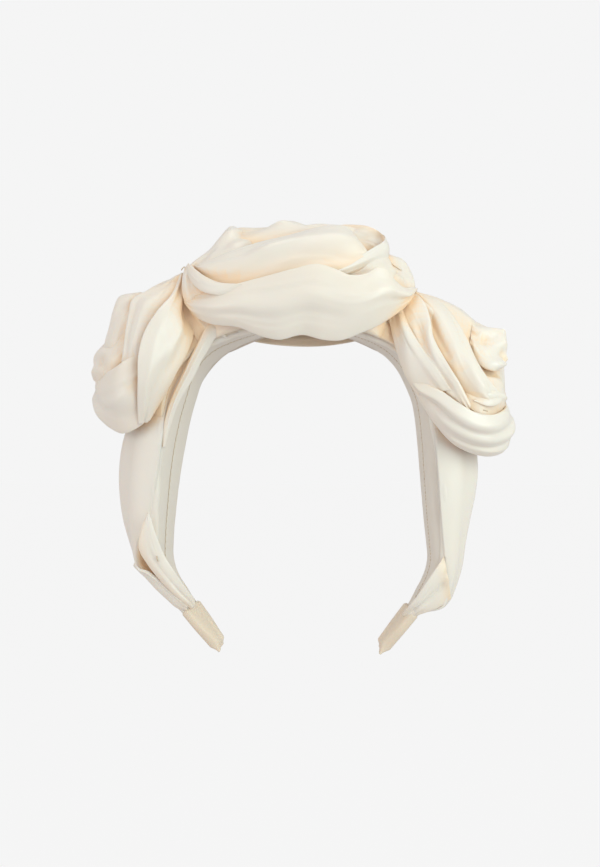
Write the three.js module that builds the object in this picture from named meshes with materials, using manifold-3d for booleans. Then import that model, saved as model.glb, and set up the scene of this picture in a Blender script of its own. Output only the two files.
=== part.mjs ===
// Knotted satin headband, in millimetres, +Z up, worn with its front towards -Y.
// A sprung plastic band is slipped into a satin sleeve whose seam runs down the inside. Two fabric caps
// close its ends. A wide satin sash hangs down each leg, and is wound and tacked into three knots on top.
// The origin is where the inside of the sleeve meets the top of the head.
import * as THREE from 'three';
import { LoftGeometry } from 'three/addons/geometries/LoftGeometry.js';
import { mergeVertices } from 'three/addons/utils/BufferGeometryUtils.js';
import Module from 'manifold-3d';

const wasm = await Module();
wasm.setup();

// ---- Driving dimensions ----

// The band's inner line from the crown down one side: arcs that meet smoothly, then a straight end.
const CROWN_RADIUS = 79;
const CROWN_TURN = 25; // degrees
const SHOULDER_RADIUS = 38;
const SHOULDER_TURN = 53;
const SIDE_RADIUS = 320;
const SIDE_TURN = 12;
const BEND_RADIUS = 26;
const BEND_TURN = 38;
const END_LENGTH = 32;
const FLARE = 10; // degrees that the legs lean, so that the band's back edge is the smaller loop
const FLARE_FROM = 5; // the band is level over the crown to here
const FLARE_FULL = 60;
const CROWN_FACET = 10; // length of the flat place at the very top

const CORE_WIDTH = 28;
const CORE_END_WIDTH = 8;
const CORE_THICKNESS = 1.6;
const CORE_CLEARANCE = 0.3; // all round the core, inside its sleeve
const SLEEVE_WALL = 0.9;
const SEAM_GAP = 0.8; // where the sleeve's two edges meet
const SEAM_FORWARD = 4; // the seam is this far in front of the middle

const CAP_LENGTH = 21;
const CAP_WALL = 0.9;
const CAP_CLEARANCE = 0.3;
const CAP_END = 1.5; // thickness of cloth past the sleeve's end

const FLEX_AT = 88; // the legs flex here, measured along the band from the crown
const FLEX_GAP = 1;

const SASH_START = 91; // where the sash comes out from under its knot, along the band
const SASH_OPENING = 20; // length over which it opens out
const SASH_TUCKED = 2; // how thick it is where it comes out
const SASH_PUFF = { left: 21, right: 18 }; // how far it stands off the sleeve
const SASH_FROM_SLEEVE = 0.4;
const SASH_OVERHANG = 1.5; // past each edge of the sleeve

const GATHER_FROM_SLEEVE = 0.4;
const GATHER_LIFT = 1; // its lower edges stay this far above the sleeve's inside face
const CLOTH_CLEARANCE = 0.6; // between two folds that lie on each other

const SATIN = new THREE.MeshStandardMaterial({ color: 0xece2d4, roughness: 0.42, metalness: 0 });
const LINING = new THREE.MeshStandardMaterial({ color: 0xddd3c9, roughness: 0.6, metalness: 0 });
const CAP_CLOTH = new THREE.MeshStandardMaterial({ color: 0xe2d2b8, roughness: 0.6, metalness: 0 });
const PLASTIC = new THREE.MeshStandardMaterial({ color: 0xf2f0ea, roughness: 0.35, metalness: 0 });
const THREAD = new THREE.MeshStandardMaterial({ color: 0xc9b79d, roughness: 0.7, metalness: 0 });

const radians = THREE.MathUtils.degToRad;
const SLEEVE_THICKNESS = CORE_THICKNESS + 2 * (CORE_CLEARANCE + SLEEVE_WALL);
const CORE_INSET = SLEEVE_WALL + CORE_CLEARANCE; // from the sleeve's inside face to the core
const ARCS = [
  [CROWN_RADIUS, radians(CROWN_TURN)],
  [SHOULDER_RADIUS, radians(SHOULDER_TURN)],
  [SIDE_RADIUS, radians(SIDE_TURN)],
  [BEND_RADIUS, radians(BEND_TURN)],
];
const BAND_LENGTH = ARCS.reduce((sum, [radius, turn]) => sum + radius * turn, 0) + END_LENGTH;

// ---- The band's line and the shapes that follow it ----

// Where the band's inner line is, a distance along it from the crown, and its outward and widthwise
// directions. Negative distances run down the left side, which is the right side mirrored.
function bandAt(distance) {
  const side = Math.sign(distance) || 1;
  const place = new THREE.Vector3();
  let left = Math.abs(distance);
  let heading = 0;
  for (const [radius, turn] of ARCS) {
    const part = Math.min(left, radius * turn) / radius;
    place.x += radius * (Math.sin(heading + part) - Math.sin(heading));
    place.z -= radius * (Math.cos(heading) - Math.cos(heading + part));
    heading += part;
    left -= radius * part;
  }
  place.addScaledVector(new THREE.Vector3(Math.cos(heading), 0, -Math.sin(heading)), left);
  const normal = new THREE.Vector3(side * Math.sin(heading), 0, Math.cos(heading));
  place.x *= side;
  const flare = radians(FLARE) * THREE.MathUtils.smoothstep(Math.abs(distance), FLARE_FROM, FLARE_FULL);
  const back = new THREE.Vector3(0, 1, 0);
  return {
    place,
    out: normal.clone().multiplyScalar(Math.cos(flare)).addScaledVector(back, Math.sin(flare)),
    back: back.multiplyScalar(Math.cos(flare)).addScaledVector(normal, -Math.sin(flare)),
  };
}

// The core keeps its full width down to where the legs flex, and narrows evenly to its ends.
function coreWidthAt(distance) {
  const share = THREE.MathUtils.clamp((Math.abs(distance) - FLEX_AT) / (BAND_LENGTH - FLEX_AT), 0, 1);
  return THREE.MathUtils.lerp(CORE_WIDTH, CORE_END_WIDTH, share);
}

function sleeveWidthAt(distance) {
  return coreWidthAt(distance) + 2 * (CORE_CLEARANCE + SLEEVE_WALL);
}

// Rising distances along the band between two ends, about a step apart, with a flat facet over the crown.
function stations(from, to, step) {
  const count = Math.max(2, Math.round(Math.abs(to - from) / step));
  const list = Array.from({ length: count + 1 }, (_, i) => THREE.MathUtils.lerp(from, to, i / count));
  const crossesCrown = Math.min(from, to) < 0 && Math.max(from, to) > 0;
  const clear = list.filter((d) => !crossesCrown || Math.abs(d) > CROWN_FACET / 2 + step / 3);
  const facet = crossesCrown ? [-CROWN_FACET / 2, CROWN_FACET / 2] : [];
  return [...clear, ...facet].sort((a, b) => a - b);
}

// A solid that follows the band: outline(distance) lists [back, out] points round its section.
function along(distances, outline) {
  const sections = distances.map((distance) => {
    const at = bandAt(distance);
    return outline(distance).map(([back, out]) =>
      at.place.clone().addScaledVector(at.back, back).addScaledVector(at.out, out),
    );
  });
  return solidOf(new LoftGeometry(sections, { capStart: true, capEnd: true }));
}

// The closed geometry as a manifold-3d solid.
function solidOf(geometry) {
  const bare = new THREE.BufferGeometry();
  bare.setAttribute('position', geometry.getAttribute('position'));
  bare.setIndex(geometry.getIndex());
  const merged = mergeVertices(bare, 1e-3);
  const vertProperties = merged.getAttribute('position').array;
  const triVerts = new Uint32Array(merged.getIndex().array);
  return new wasm.Manifold(new wasm.Mesh({ numProp: 3, vertProperties, triVerts }));
}

function geometryOf(solid) {
  const { vertProperties, triVerts } = solid.getMesh();
  const geometry = new THREE.BufferGeometry();
  geometry.setAttribute('position', new THREE.BufferAttribute(new Float32Array(vertProperties), 3));
  geometry.setIndex(new THREE.BufferAttribute(new Uint32Array(triVerts), 1));
  geometry.computeVertexNormals();
  return geometry;
}

const headband = new THREE.Group();

function addPiece(name, solid, material) {
  const piece = new THREE.Mesh(geometryOf(solid), material);
  piece.name = name;
  headband.add(piece);
}

// ---- Core: the sprung plastic band, in three lengths that meet where the legs flex ----

function coreOutline(distance) {
  const half = coreWidthAt(distance) / 2;
  const low = CORE_INSET;
  const high = CORE_INSET + CORE_THICKNESS;
  return [[-half, low], [half, low], [half, high], [-half, high]];
}

const SIDES = { left: -1, right: 1 };
const CROWN_HALF = FLEX_AT - FLEX_GAP / 2;
const LEG_START = FLEX_AT + FLEX_GAP / 2;
const FINE_STEP = 4.5;

addPiece('core_crown', along(stations(-CROWN_HALF, CROWN_HALF, FINE_STEP), coreOutline), PLASTIC);
for (const [name, side] of Object.entries(SIDES)) {
  const run = stations(side * LEG_START, side * BAND_LENGTH, FINE_STEP);
  addPiece(`core_leg_${name}`, along(run, coreOutline), PLASTIC);
}

// ---- Sleeve: a satin tube round the core, open along its seam on the inside ----

// The outside of the sleeve, grown by a clearance for what goes round it.
function sleeveSkin(distance, grow = 0) {
  const half = sleeveWidthAt(distance) / 2 + grow;
  const soft = SLEEVE_THICKNESS / 4; // how far the edges are rounded off
  const low = -grow;
  const high = SLEEVE_THICKNESS + grow;
  return [
    [-half, low + soft], [-half + soft, low], [half - soft, low], [half, low + soft],
    [half, high - soft], [half - soft, high], [-half + soft, high], [-half, high - soft],
  ];
}

function sleeveOutline(distance) {
  const skin = sleeveSkin(distance);
  const half = coreWidthAt(distance) / 2 + CORE_CLEARANCE;
  const low = SLEEVE_WALL;
  const high = SLEEVE_THICKNESS - SLEEVE_WALL;
  const seam = -SEAM_FORWARD * (coreWidthAt(distance) / CORE_WIDTH);
  const before = seam - SEAM_GAP / 2;
  const after = seam + SEAM_GAP / 2;
  return [
    [after, 0], ...skin.slice(2), ...skin.slice(0, 2), [before, 0],
    [before, low], [-half, low], [-half, high], [half, high], [half, low], [after, low],
  ];
}

addPiece('sleeve_crown', along(stations(-CROWN_HALF, CROWN_HALF, FINE_STEP), sleeveOutline), LINING);
for (const [name, side] of Object.entries(SIDES)) {
  const run = stations(side * LEG_START, side * BAND_LENGTH, FINE_STEP);
  addPiece(`sleeve_leg_${name}`, along(run, sleeveOutline), LINING);
}

// ---- Tip caps: folded cloth pulled over each end ----

function capOutline(distance) {
  const pinch = 1 - 0.35 * THREE.MathUtils.smoothstep(Math.abs(distance), BAND_LENGTH, BAND_LENGTH + CAP_END);
  const half = (sleeveWidthAt(distance) / 2 + CAP_CLEARANCE + CAP_WALL) * pinch;
  const middle = SLEEVE_THICKNESS / 2;
  const ridge = (middle + CAP_CLEARANCE + CAP_WALL) * pinch;
  return [
    [-half, middle - 0.4 * ridge], [-half * 0.55, middle - ridge], [half * 0.55, middle - ridge],
    [half, middle - 0.4 * ridge], [half, middle + 0.4 * ridge], [half * 0.55, middle + ridge],
    [-half * 0.55, middle + ridge], [-half, middle + 0.4 * ridge],
  ];
}

const CAP_START = BAND_LENGTH - CAP_LENGTH;
const CAP_STEP = 3;
for (const [name, side] of Object.entries(SIDES)) {
  const run = stations(side * CAP_START, side * (BAND_LENGTH + CAP_END), CAP_STEP);
  const hollow = stations(side * (CAP_START - CAP_STEP), side * (BAND_LENGTH + CAP_CLEARANCE), CAP_STEP);
  const outside = along(run, capOutline);
  const cavity = along(hollow, (distance) => sleeveSkin(distance, CAP_CLEARANCE));
  addPiece(`tip_cap_${name}`, outside.subtract(cavity), CAP_CLOTH);
}

// ---- Leg sashes: the sash's two tails, puffed out from the sleeve and gathered into the caps ----

const SASH_END = CAP_START - 2;
const ARCH_POINTS = 9;

// The tail opens out below its knot, stands well off the band down to the bend, and closes in on it
// towards the cap.
function puffAt(distance, most) {
  const bend = BAND_LENGTH - END_LENGTH - BEND_RADIUS * radians(BEND_TURN);
  const opening = THREE.MathUtils.smoothstep(Math.abs(distance), SASH_START, SASH_START + SASH_OPENING);
  const closing = THREE.MathUtils.smoothstep(Math.abs(distance), bend - 20, SASH_END);
  const opened = THREE.MathUtils.lerp(SASH_TUCKED, most, opening);
  return THREE.MathUtils.lerp(opened, CAP_WALL + CAP_CLEARANCE, closing);
}

for (const [name, side] of Object.entries(SIDES)) {
  const sashOutline = (distance) => {
    const half = sleeveWidthAt(distance) / 2 + SASH_OVERHANG;
    const base = SLEEVE_THICKNESS + SASH_FROM_SLEEVE;
    const puff = puffAt(distance, SASH_PUFF[name]);
    return Array.from({ length: ARCH_POINTS }, (_, i) => {
      const angle = (Math.PI * i) / (ARCH_POINTS - 1);
      return [half * Math.cos(angle), base + puff * Math.sin(angle)];
    });
  };
  const run = stations(side * SASH_START, side * SASH_END, FINE_STEP);
  addPiece(`leg_sash_${name}`, along(run, sashOutline), SATIN);
}

// ---- Knots: gathered cloth tacked over the sleeve, with the visible folds laid round it ----

const KNOTS = {
  centre: { middle: 0, reach: 37, height: 39, halfWidth: 27 },
  left: { middle: -63, reach: 23, height: 30, halfWidth: 21 },
  right: { middle: 63, reach: 23, height: 30, halfWidth: 21 },
};
const GATHER_POINTS = 14;
const placed = []; // what the folds that come later are cut clear of

// The gather's section is a dome that sits over the sleeve and swells towards the middle of the knot.
function gatherOutline(knot, distance, grow) {
  const off = (distance - knot.middle) / (knot.reach + 1e-3);
  const swell = Math.sqrt(Math.max(0, 1 - off * off));
  const half = THREE.MathUtils.lerp(sleeveWidthAt(distance) / 2 + 1.5, knot.halfWidth, swell) + grow;
  const low = GATHER_LIFT - grow;
  const high = THREE.MathUtils.lerp(SLEEVE_THICKNESS + 1.5, knot.height, swell) + grow;
  const middle = SLEEVE_THICKNESS / 2;
  return Array.from({ length: GATHER_POINTS }, (_, i) => {
    const angle = (2 * Math.PI * (i + 0.5)) / GATHER_POINTS;
    const wide = Math.sign(Math.cos(angle)) * Math.sqrt(Math.abs(Math.cos(angle)));
    const tall = Math.sin(angle);
    return [half * wide, middle + (tall > 0 ? (high - middle) * Math.sqrt(tall) : (middle - low) * tall)];
  });
}

for (const [name, knot] of Object.entries(KNOTS)) {
  const from = knot.middle - knot.reach;
  const to = knot.middle + knot.reach;
  const gather = (grow) => along(stations(from - grow, to + grow, FINE_STEP), (distance) =>
    gatherOutline(knot, THREE.MathUtils.clamp(distance, from, to), grow),
  );
  const channel = along(stations(from - FINE_STEP, to + FINE_STEP, FINE_STEP), (distance) =>
    sleeveSkin(distance, GATHER_FROM_SLEEVE),
  );
  const below = along(stations(from - FINE_STEP, to + FINE_STEP, FINE_STEP), (distance) => {
    const half = sleeveWidthAt(distance) / 2 + GATHER_FROM_SLEEVE;
    return [[-half, -5], [half, -5], [half, 2], [-half, 2]];
  });
  addPiece(`${name}_knot_gather`, gather(0).subtract(channel).subtract(below), SATIN);
  placed.push(gather(CLOTH_CLEARANCE));
}
placed.push(along(stations(-CROWN_HALF, CROWN_HALF, FINE_STEP), (distance) =>
  sleeveSkin(distance, CLOTH_CLEARANCE),
));

// A fold is a soft flat tube of cloth between two edge lines. It swells outwards by crown in the middle,
// is thick at most, and its ends are rounded off. Each line has only the points that its shape needs.
const FOLD_STEPS = 16;
const FOLD_POINTS = 10;

function foldSolid({ from, to, thick, crown }, { shift, heart }, grow) {
  const edge = [from, to].map((points) =>
    new THREE.CatmullRomCurve3(points.map((p) => new THREE.Vector3(...p).add(shift)), false, 'centripetal'),
  );
  const frameAt = (share) => {
    const near = edge[0].getPoint(share);
    const across = edge[1].getPoint(share).sub(near);
    const reach = across.length();
    const run = edge[0].getTangent(share).add(edge[1].getTangent(share)).normalize();
    const out = new THREE.Vector3().crossVectors(run, across).normalize();
    return { near, across: across.divideScalar(reach), reach, run, out };
  };
  const centre = frameAt(0.5);
  const fromHeart = centre.near.clone().addScaledVector(centre.across, centre.reach / 2).sub(heart);
  const facing = Math.sign(centre.out.dot(fromHeart));
  const sections = Array.from({ length: FOLD_STEPS + 1 }, (_, i) => {
    const share = i / FOLD_STEPS;
    const { near, across, reach, run, out } = frameAt(share);
    out.multiplyScalar(facing);
    const rounded = Math.sqrt(Math.max(0.12, 1 - Math.abs(2 * share - 1) ** 4));
    const half = (thick / 2) * rounded + grow;
    const end = i === 0 ? -2 * grow : i === FOLD_STEPS ? 2 * grow : 0;
    return Array.from({ length: FOLD_POINTS }, (_, j) => {
      const angle = (-facing * 2 * Math.PI * j) / FOLD_POINTS;
      const over = (1 - Math.cos(angle)) / 2;
      return near.clone()
        .addScaledVector(across, over * reach - grow * Math.cos(angle))
        .addScaledVector(out, crown * 4 * over * (1 - over) + half * Math.sin(angle))
        .addScaledVector(run, end);
    });
  });
  return solidOf(new LoftGeometry(sections, { capStart: true, capEnd: true }));
}

// Cuts a fold clear of what is already there, and keeps the length of cloth without its offcuts.
function addFold(name, fold, knot) {
  let solid = foldSolid(fold, knot, 0);
  for (const keepOut of placed) solid = solid.subtract(keepOut);
  const lengths = solid.decompose().sort((a, b) => b.volume() - a.volume());
  addPiece(name, lengths[0], SATIN);
  placed.push(foldSolid(fold, knot, CLOTH_CLEARANCE));
}

// Folds lie round the heart of their knot. They are drawn with the band's line passing through seat, a
// distance along the band, and those that rest on the band shift with that line when its sizes change.
const NO_SHIFT = new THREE.Vector3();
const CENTRE_KNOT = { shift: NO_SHIFT, heart: new THREE.Vector3(0, 0, 16) };
const LEFT_KNOT = { shift: NO_SHIFT, heart: new THREE.Vector3(-66, 0, -12) };
const RIGHT_KNOT = { shift: NO_SHIFT, heart: new THREE.Vector3(66, 0, -14) };

function movedWithBand({ heart }, distance, seat) {
  const shift = bandAt(distance).place.sub(new THREE.Vector3(...seat));
  return { shift, heart: heart.clone().add(shift) };
}

const RIGHT_KNOT_LOW = movedWithBand(RIGHT_KNOT, KNOTS.right.middle, [52.564, 0, -27.617]);

// Centre knot: a swirl of cloth across the front, over the top, round the right and across the back.
addFold('centre_front_fold', {
  from: [[-48, -18, 14], [-37, -26, 15], [-23, -31, 17], [-5, -34, 20], [11, -35, 24], [25, -34, 21],
    [37, -30, 23], [46, -22, 18], [51, -12, 19]],
  to: [[-48, -18, 10], [-42, -23, 4], [-32, -27, -1], [-14, -29, -4], [5, -30, -6], [20, -29, -7],
    [35, -25, -2], [45, -19, 5], [51, -11, 15]],
  thick: 4, crown: 3,
}, CENTRE_KNOT);
addFold('centre_middle_fold', {
  from: [[-48, -13, 28], [-40, -16, 30], [-31, -17, 33], [-22, -17, 35], [-5, -15, 39], [9, -13, 44],
    [19, -11, 46], [25, -12, 43], [29, -14, 37]],
  to: [[-46, -16, 21], [-38, -23, 20], [-25, -28, 22], [-14, -30, 24], [0, -31, 27], [13, -31, 29],
    [22, -29, 27], [28, -24, 28], [31, -18, 32]],
  thick: 4, crown: 3,
}, CENTRE_KNOT);
addFold('centre_loop_fold', {
  from: [[8, 8, 50], [19, 5, 49], [29, 1, 47], [38, -4, 42], [40, -10, 36], [34, -20, 31], [27, -25, 27]],
  to: [[10, 8, 38], [20, 5, 36], [30, 2, 33], [37, -3, 29], [39, -10, 25], [34, -19, 22], [29, -24, 20]],
  thick: 3, crown: 2,
}, CENTRE_KNOT);
addFold('centre_right_turn', {
  from: [[32, 14, 37], [39, 9, 35], [45, 5, 31], [50, 0, 25], [52, -4, 19]],
  to: [[40, -6, 24], [42, -10, 21], [45, -12, 17], [48, -11, 14], [51, -8, 13]],
  thick: 4, crown: 2,
}, CENTRE_KNOT);
addFold('centre_left_turn', {
  from: [[-50, -7, 30], [-46, -5, 33], [-42, -3, 36], [-37, 0, 42], [-32, 4, 47], [-28, 12, 47]],
  to: [[-48, 8, 24], [-42, 12, 27], [-36, 15, 31], [-30, 18, 35], [-25, 20, 37], [-20, 22, 38]],
  thick: 4, crown: 2,
}, CENTRE_KNOT);
addFold('centre_rear_fold', {
  from: [[-33, -7, 38], [-27, -8, 40], [-16, -8, 42], [-6, -8, 44], [3, -7, 45], [13, -5, 45],
    [22, -3, 43], [31, 0, 39]],
  to: [[-26, 16, 43], [-20, 17, 45], [-12, 18, 46], [-4, 18, 46], [5, 18, 45], [13, 17, 43],
    [22, 16, 40], [30, 14, 36]],
  thick: 4, crown: 5,
}, CENTRE_KNOT);
addFold('centre_back_fold', {
  from: [[-50, 10, 22], [-40, 18, 27], [-26, 25, 31], [-8, 28, 33], [10, 28, 33], [27, 25, 30],
    [40, 18, 26], [50, 8, 22]],
  to: [[-48, 14, 6], [-40, 22, 2], [-26, 27, -3], [-8, 28, -6], [10, 28, -6], [27, 27, -3],
    [40, 22, 2], [48, 14, 6]],
  thick: 4, crown: 3,
}, CENTRE_KNOT);

// Left knot: pleats gathered under the centre knot, fanning down and outwards.
addFold('left_main_fold', {
  from: [[-54, -12, 25], [-56, -19, 15], [-61, -25, 6], [-66, -28, -3], [-68, -30, -13], [-68, -29, -24],
    [-68, -25, -33], [-69, -21, -39]],
  to: [[-52, -10, 22], [-52, -15, 13], [-51, -17, 4], [-50, -18, -4], [-53, -19, -12], [-57, -20, -21],
    [-62, -19, -31], [-67, -16, -39]],
  thick: 5, crown: 3,
}, LEFT_KNOT);
addFold('left_second_fold', {
  from: [[-62, -8, 23], [-69, -12, 18], [-73, -17, 10], [-75, -21, 0], [-76, -24, -8], [-76, -26, -16]],
  to: [[-56, -12, 20], [-59, -16, 14], [-63, -20, 6], [-67, -24, -3], [-69, -27, -9], [-70, -29, -15]],
  thick: 4, crown: 2,
}, LEFT_KNOT);
addFold('left_bottom_fold', {
  from: [[-69, -27, -12], [-75, -25, -14], [-82, -20, -18], [-87, -14, -21], [-90, -6, -22], [-88, 6, -20]],
  to: [[-69, -22, -37], [-74, -18, -41], [-80, -14, -42], [-88, -9, -40], [-91, -2, -36], [-87, 8, -34]],
  thick: 5, crown: 2,
}, LEFT_KNOT);
addFold('left_outer_fold', {
  from: [[-78, 0, 17], [-83, -4, 13], [-85, -6, 7], [-87, -8, 0], [-89, -9, -7], [-92, -7, -14],
    [-92, -4, -20]],
  to: [[-71, -8, 15], [-75, -12, 10], [-76, -16, 5], [-77, -19, -1], [-78, -21, -7], [-80, -20, -13],
    [-85, -15, -18]],
  thick: 4, crown: 1,
}, LEFT_KNOT);
addFold('left_top_fold', {
  from: [[-53, -4, 27], [-61, 0, 26], [-67, 2, 22], [-74, 4, 17], [-79, 5, 14]],
  to: [[-55, -11, 20], [-58, -13, 17], [-62, -14, 14], [-67, -13, 11], [-72, -11, 9]],
  thick: 4, crown: 2,
}, LEFT_KNOT);
addFold('left_back_fold', {
  from: [[-51, 6, 24], [-60, 14, 20], [-70, 18, 12], [-78, 18, 2], [-84, 16, -10], [-86, 14, -22]],
  to: [[-48, 14, 6], [-54, 20, -2], [-60, 24, -12], [-65, 25, -22], [-69, 22, -32], [-73, 16, -38]],
  thick: 5, crown: 4,
}, LEFT_KNOT);

// Right knot: overlapping rolls that swing down from the centre knot and curl in at the outside.
addFold('right_inner_fold', {
  from: [[42, -15, 3], [44, -18, -6], [48, -20, -14], [51, -22, -22], [56, -23, -30]],
  to: [[45, -12, 9], [49, -22, -6], [54, -26, -15], [59, -28, -22], [65, -28, -29]],
  thick: 4, crown: 1,
}, RIGHT_KNOT);
addFold('right_bottom_fold', {
  from: [[51, -21, -24], [62, -27, -28], [71, -29, -34], [78, -28, -38], [85, -23, -41], [91, -10, -37],
    [89, 4, -32]],
  to: [[54, -17, -30], [58, -19, -37], [64, -20, -45], [73, -19, -54], [84, -14, -57], [91, -4, -52],
    [88, 8, -44]],
  thick: 5, crown: 2,
}, RIGHT_KNOT_LOW);
addFold('right_second_fold', {
  from: [[46, -11, 9], [51, -19, -1], [57, -25, -11], [64, -28, -22], [70, -27, -32]],
  to: [[50, -8, 16], [58, -19, 4], [60, -25, -6], [66, -29, -18], [72, -29, -31]],
  thick: 4, crown: 1,
}, RIGHT_KNOT);
addFold('right_third_fold', {
  from: [[50, -7, 17], [59, -17, 4], [64, -24, -8], [71, -28, -20], [81, -25, -31]],
  to: [[55, -2, 16], [67, -11, 8], [74, -19, -4], [80, -23, -18], [86, -21, -28]],
  thick: 4, crown: 2,
}, RIGHT_KNOT);
addFold('right_tip_fold', {
  from: [[77, -8, 1], [84, -8, 0], [90, -6, -1], [91, -6, -8], [90, -7, -16]],
  to: [[77, -15, -8], [80, -17, -14], [83, -18, -17], [86, -16, -18], [88, -11, -19]],
  thick: 3, crown: 1,
}, RIGHT_KNOT);
addFold('right_curl_fold', {
  from: [[79, -23, -34], [84, -23, -35], [88, -20, -33], [90, -14, -28], [89, -9, -22]],
  to: [[80, -20, -29], [83, -20, -29], [85, -18, -28], [85, -14, -25], [83, -10, -22]],
  thick: 3, crown: 1,
}, RIGHT_KNOT);
addFold('right_back_fold', {
  from: [[53, 0, 15], [63, 2, 12], [73, 4, 8], [82, 4, 0], [88, 2, -10], [89, 0, -24], [88, 2, -36]],
  to: [[48, 14, 6], [55, 20, -2], [62, 24, -12], [68, 25, -22], [73, 23, -32], [77, 18, -42], [80, 12, -48]],
  thick: 5, crown: 4,
}, RIGHT_KNOT_LOW);

// ---- Thread tacks: short stitches that hold the gathers and the folds in place ----

const TACK_RADIUS = 0.4;
const LEG_TACK = movedWithBand(LEFT_KNOT, -140, [-61.273, 0, -103.82]);
const TACKS = {
  tack_leg_left: [[-61, -16.5, -104], [-60, -16.5, -107], LEG_TACK],
  tack_right_knot: [[74, -31.2, -37], [76, -31.2, -38.5], RIGHT_KNOT_LOW],
  tack_left_gather: [[-52, -14.5, 26], [-50.5, -15, 27.5], LEFT_KNOT],
};
for (const [name, [start, end, { shift }]] of Object.entries(TACKS)) {
  const from = new THREE.Vector3(...start).add(shift);
  const to = new THREE.Vector3(...end).add(shift);
  const stitch = new THREE.Mesh(new THREE.CapsuleGeometry(TACK_RADIUS, from.distanceTo(to), 3, 8), THREAD);
  stitch.name = name;
  stitch.position.copy(from).lerp(to, 0.5);
  stitch.quaternion.setFromUnitVectors(new THREE.Vector3(0, 1, 0), to.sub(from).normalize());
  headband.add(stitch);
}

export default headband;
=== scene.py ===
import math

import bpy
import numpy as np
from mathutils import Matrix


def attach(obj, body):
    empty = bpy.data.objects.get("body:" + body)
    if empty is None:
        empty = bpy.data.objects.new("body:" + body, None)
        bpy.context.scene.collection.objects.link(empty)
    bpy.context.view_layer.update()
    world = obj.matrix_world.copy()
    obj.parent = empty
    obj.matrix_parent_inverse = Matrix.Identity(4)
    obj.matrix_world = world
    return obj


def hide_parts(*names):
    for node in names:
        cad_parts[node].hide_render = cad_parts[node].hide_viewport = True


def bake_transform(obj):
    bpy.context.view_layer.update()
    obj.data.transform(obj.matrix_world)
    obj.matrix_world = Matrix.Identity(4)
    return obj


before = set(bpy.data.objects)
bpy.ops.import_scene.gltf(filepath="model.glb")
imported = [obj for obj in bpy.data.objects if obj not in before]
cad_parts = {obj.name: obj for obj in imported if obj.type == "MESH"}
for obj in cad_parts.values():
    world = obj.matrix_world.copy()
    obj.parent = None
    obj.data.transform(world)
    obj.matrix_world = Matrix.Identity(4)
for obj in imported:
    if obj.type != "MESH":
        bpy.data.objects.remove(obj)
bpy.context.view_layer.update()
MM = 0.001


# ---- Camera, floor and lights ----
# The headband is seen from the front, level with the middle of its legs and a little from its right,
# over a pale floor in soft light: a large panel on the right, a weaker one on the left and one above.

VIEW_DISTANCE = 0.600
VIEW_TURN = math.radians(5)
VIEW_HEIGHT = -0.047

camera_data = bpy.data.cameras.new("camera")
camera_data.lens = 54.81
camera_data.sensor_width = 36
camera_data.clip_start = 0.01
camera = bpy.data.objects.new("camera", camera_data)
camera.location = (VIEW_DISTANCE * math.sin(VIEW_TURN), -VIEW_DISTANCE * math.cos(VIEW_TURN), VIEW_HEIGHT)
camera.rotation_euler = (math.pi / 2, 0, VIEW_TURN)
bpy.context.collection.objects.link(camera)
bpy.context.scene.camera = camera
bpy.context.scene.view_settings.view_transform = "Standard"

PALE = (0.913, 0.913, 0.913, 1)
SOFT_WARM = (0.61, 0.58, 0.565, 1)
FLOOR_HEIGHT = -0.30
FLOOR_HALF = 6.0


def pale_glow(tree, shader, color_socket):
    """What is seen is the plain pale of the studio; what lights the headband is its dimmer, warmer glow."""
    path = tree.nodes.new("ShaderNodeLightPath")
    tone = tree.nodes.new("ShaderNodeMix")
    tone.data_type = "RGBA"
    tone.inputs[6].default_value = SOFT_WARM
    tone.inputs[7].default_value = PALE
    tree.links.new(path.outputs["Is Camera Ray"], tone.inputs[0])
    tree.links.new(tone.outputs[2], shader.inputs[color_socket])


floor_mesh = bpy.data.meshes.new("floor")
corners = [(-1, -1), (1, -1), (1, 1), (-1, 1)]
floor_mesh.from_pydata([(x * FLOOR_HALF, y * FLOOR_HALF, FLOOR_HEIGHT) for x, y in corners], [], [(0, 1, 2, 3)])
floor = bpy.data.objects.new("floor", floor_mesh)
bpy.context.collection.objects.link(floor)
floor_paint = bpy.data.materials.new("pale floor")
floor_paint.use_nodes = True
floor_shader = floor_paint.node_tree.nodes["Principled BSDF"]
floor_shader.inputs["Base Color"].default_value = (0.02, 0.02, 0.02, 1)
floor_shader.inputs["Roughness"].default_value = 1
floor_shader.inputs["Specular IOR Level"].default_value = 0
floor_shader.inputs["Emission Strength"].default_value = 0.985
pale_glow(floor_paint.node_tree, floor_shader, "Emission Color")
floor_mesh.materials.append(floor_paint)

world = bpy.data.worlds.new("studio")
world.use_nodes = True
pale_glow(world.node_tree, world.node_tree.nodes["Background"], "Color")
bpy.context.scene.world = world


def panel_light(name, place, aim, width, height, power, color):
    """A soft rectangular light at a place, turned to face a point."""
    data = bpy.data.lights.new(name, "AREA")
    data.shape = "RECTANGLE"
    data.size = width
    data.size_y = height
    data.energy = power
    data.color = color
    light = bpy.data.objects.new(name, data)
    light.location = place
    towards = np.array(aim) - np.array(place)
    turn = math.atan2(towards[1], towards[0]) - math.pi / 2
    tilt = math.atan2(towards[2], math.hypot(towards[0], towards[1]))
    light.rotation_euler = (math.pi / 2 + tilt, 0, turn)
    bpy.context.collection.objects.link(light)


panel_light("right panel", (0.55, -0.45, 0.10), (0, 0, -0.03), 0.40, 0.6, 2.9, (0.86, 1.0, 0.94))
panel_light("left panel", (-0.60, -0.50, 0.05), (0, 0, -0.04), 0.5, 0.6, 1.6, (0.96, 0.97, 0.93))
panel_light("top panel", (0.05, -0.1, 0.65), (0, 0, 0), 0.5, 0.5, 1.0, (0.98, 1.0, 0.95))


# ---- Core ----
# A moulded plastic band, bent to a horseshoe and sprung, that grips the head. It is slipped into the sleeve
# and is not seen in the finished headband. The frame's own solids stay, in milky plastic.


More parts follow.
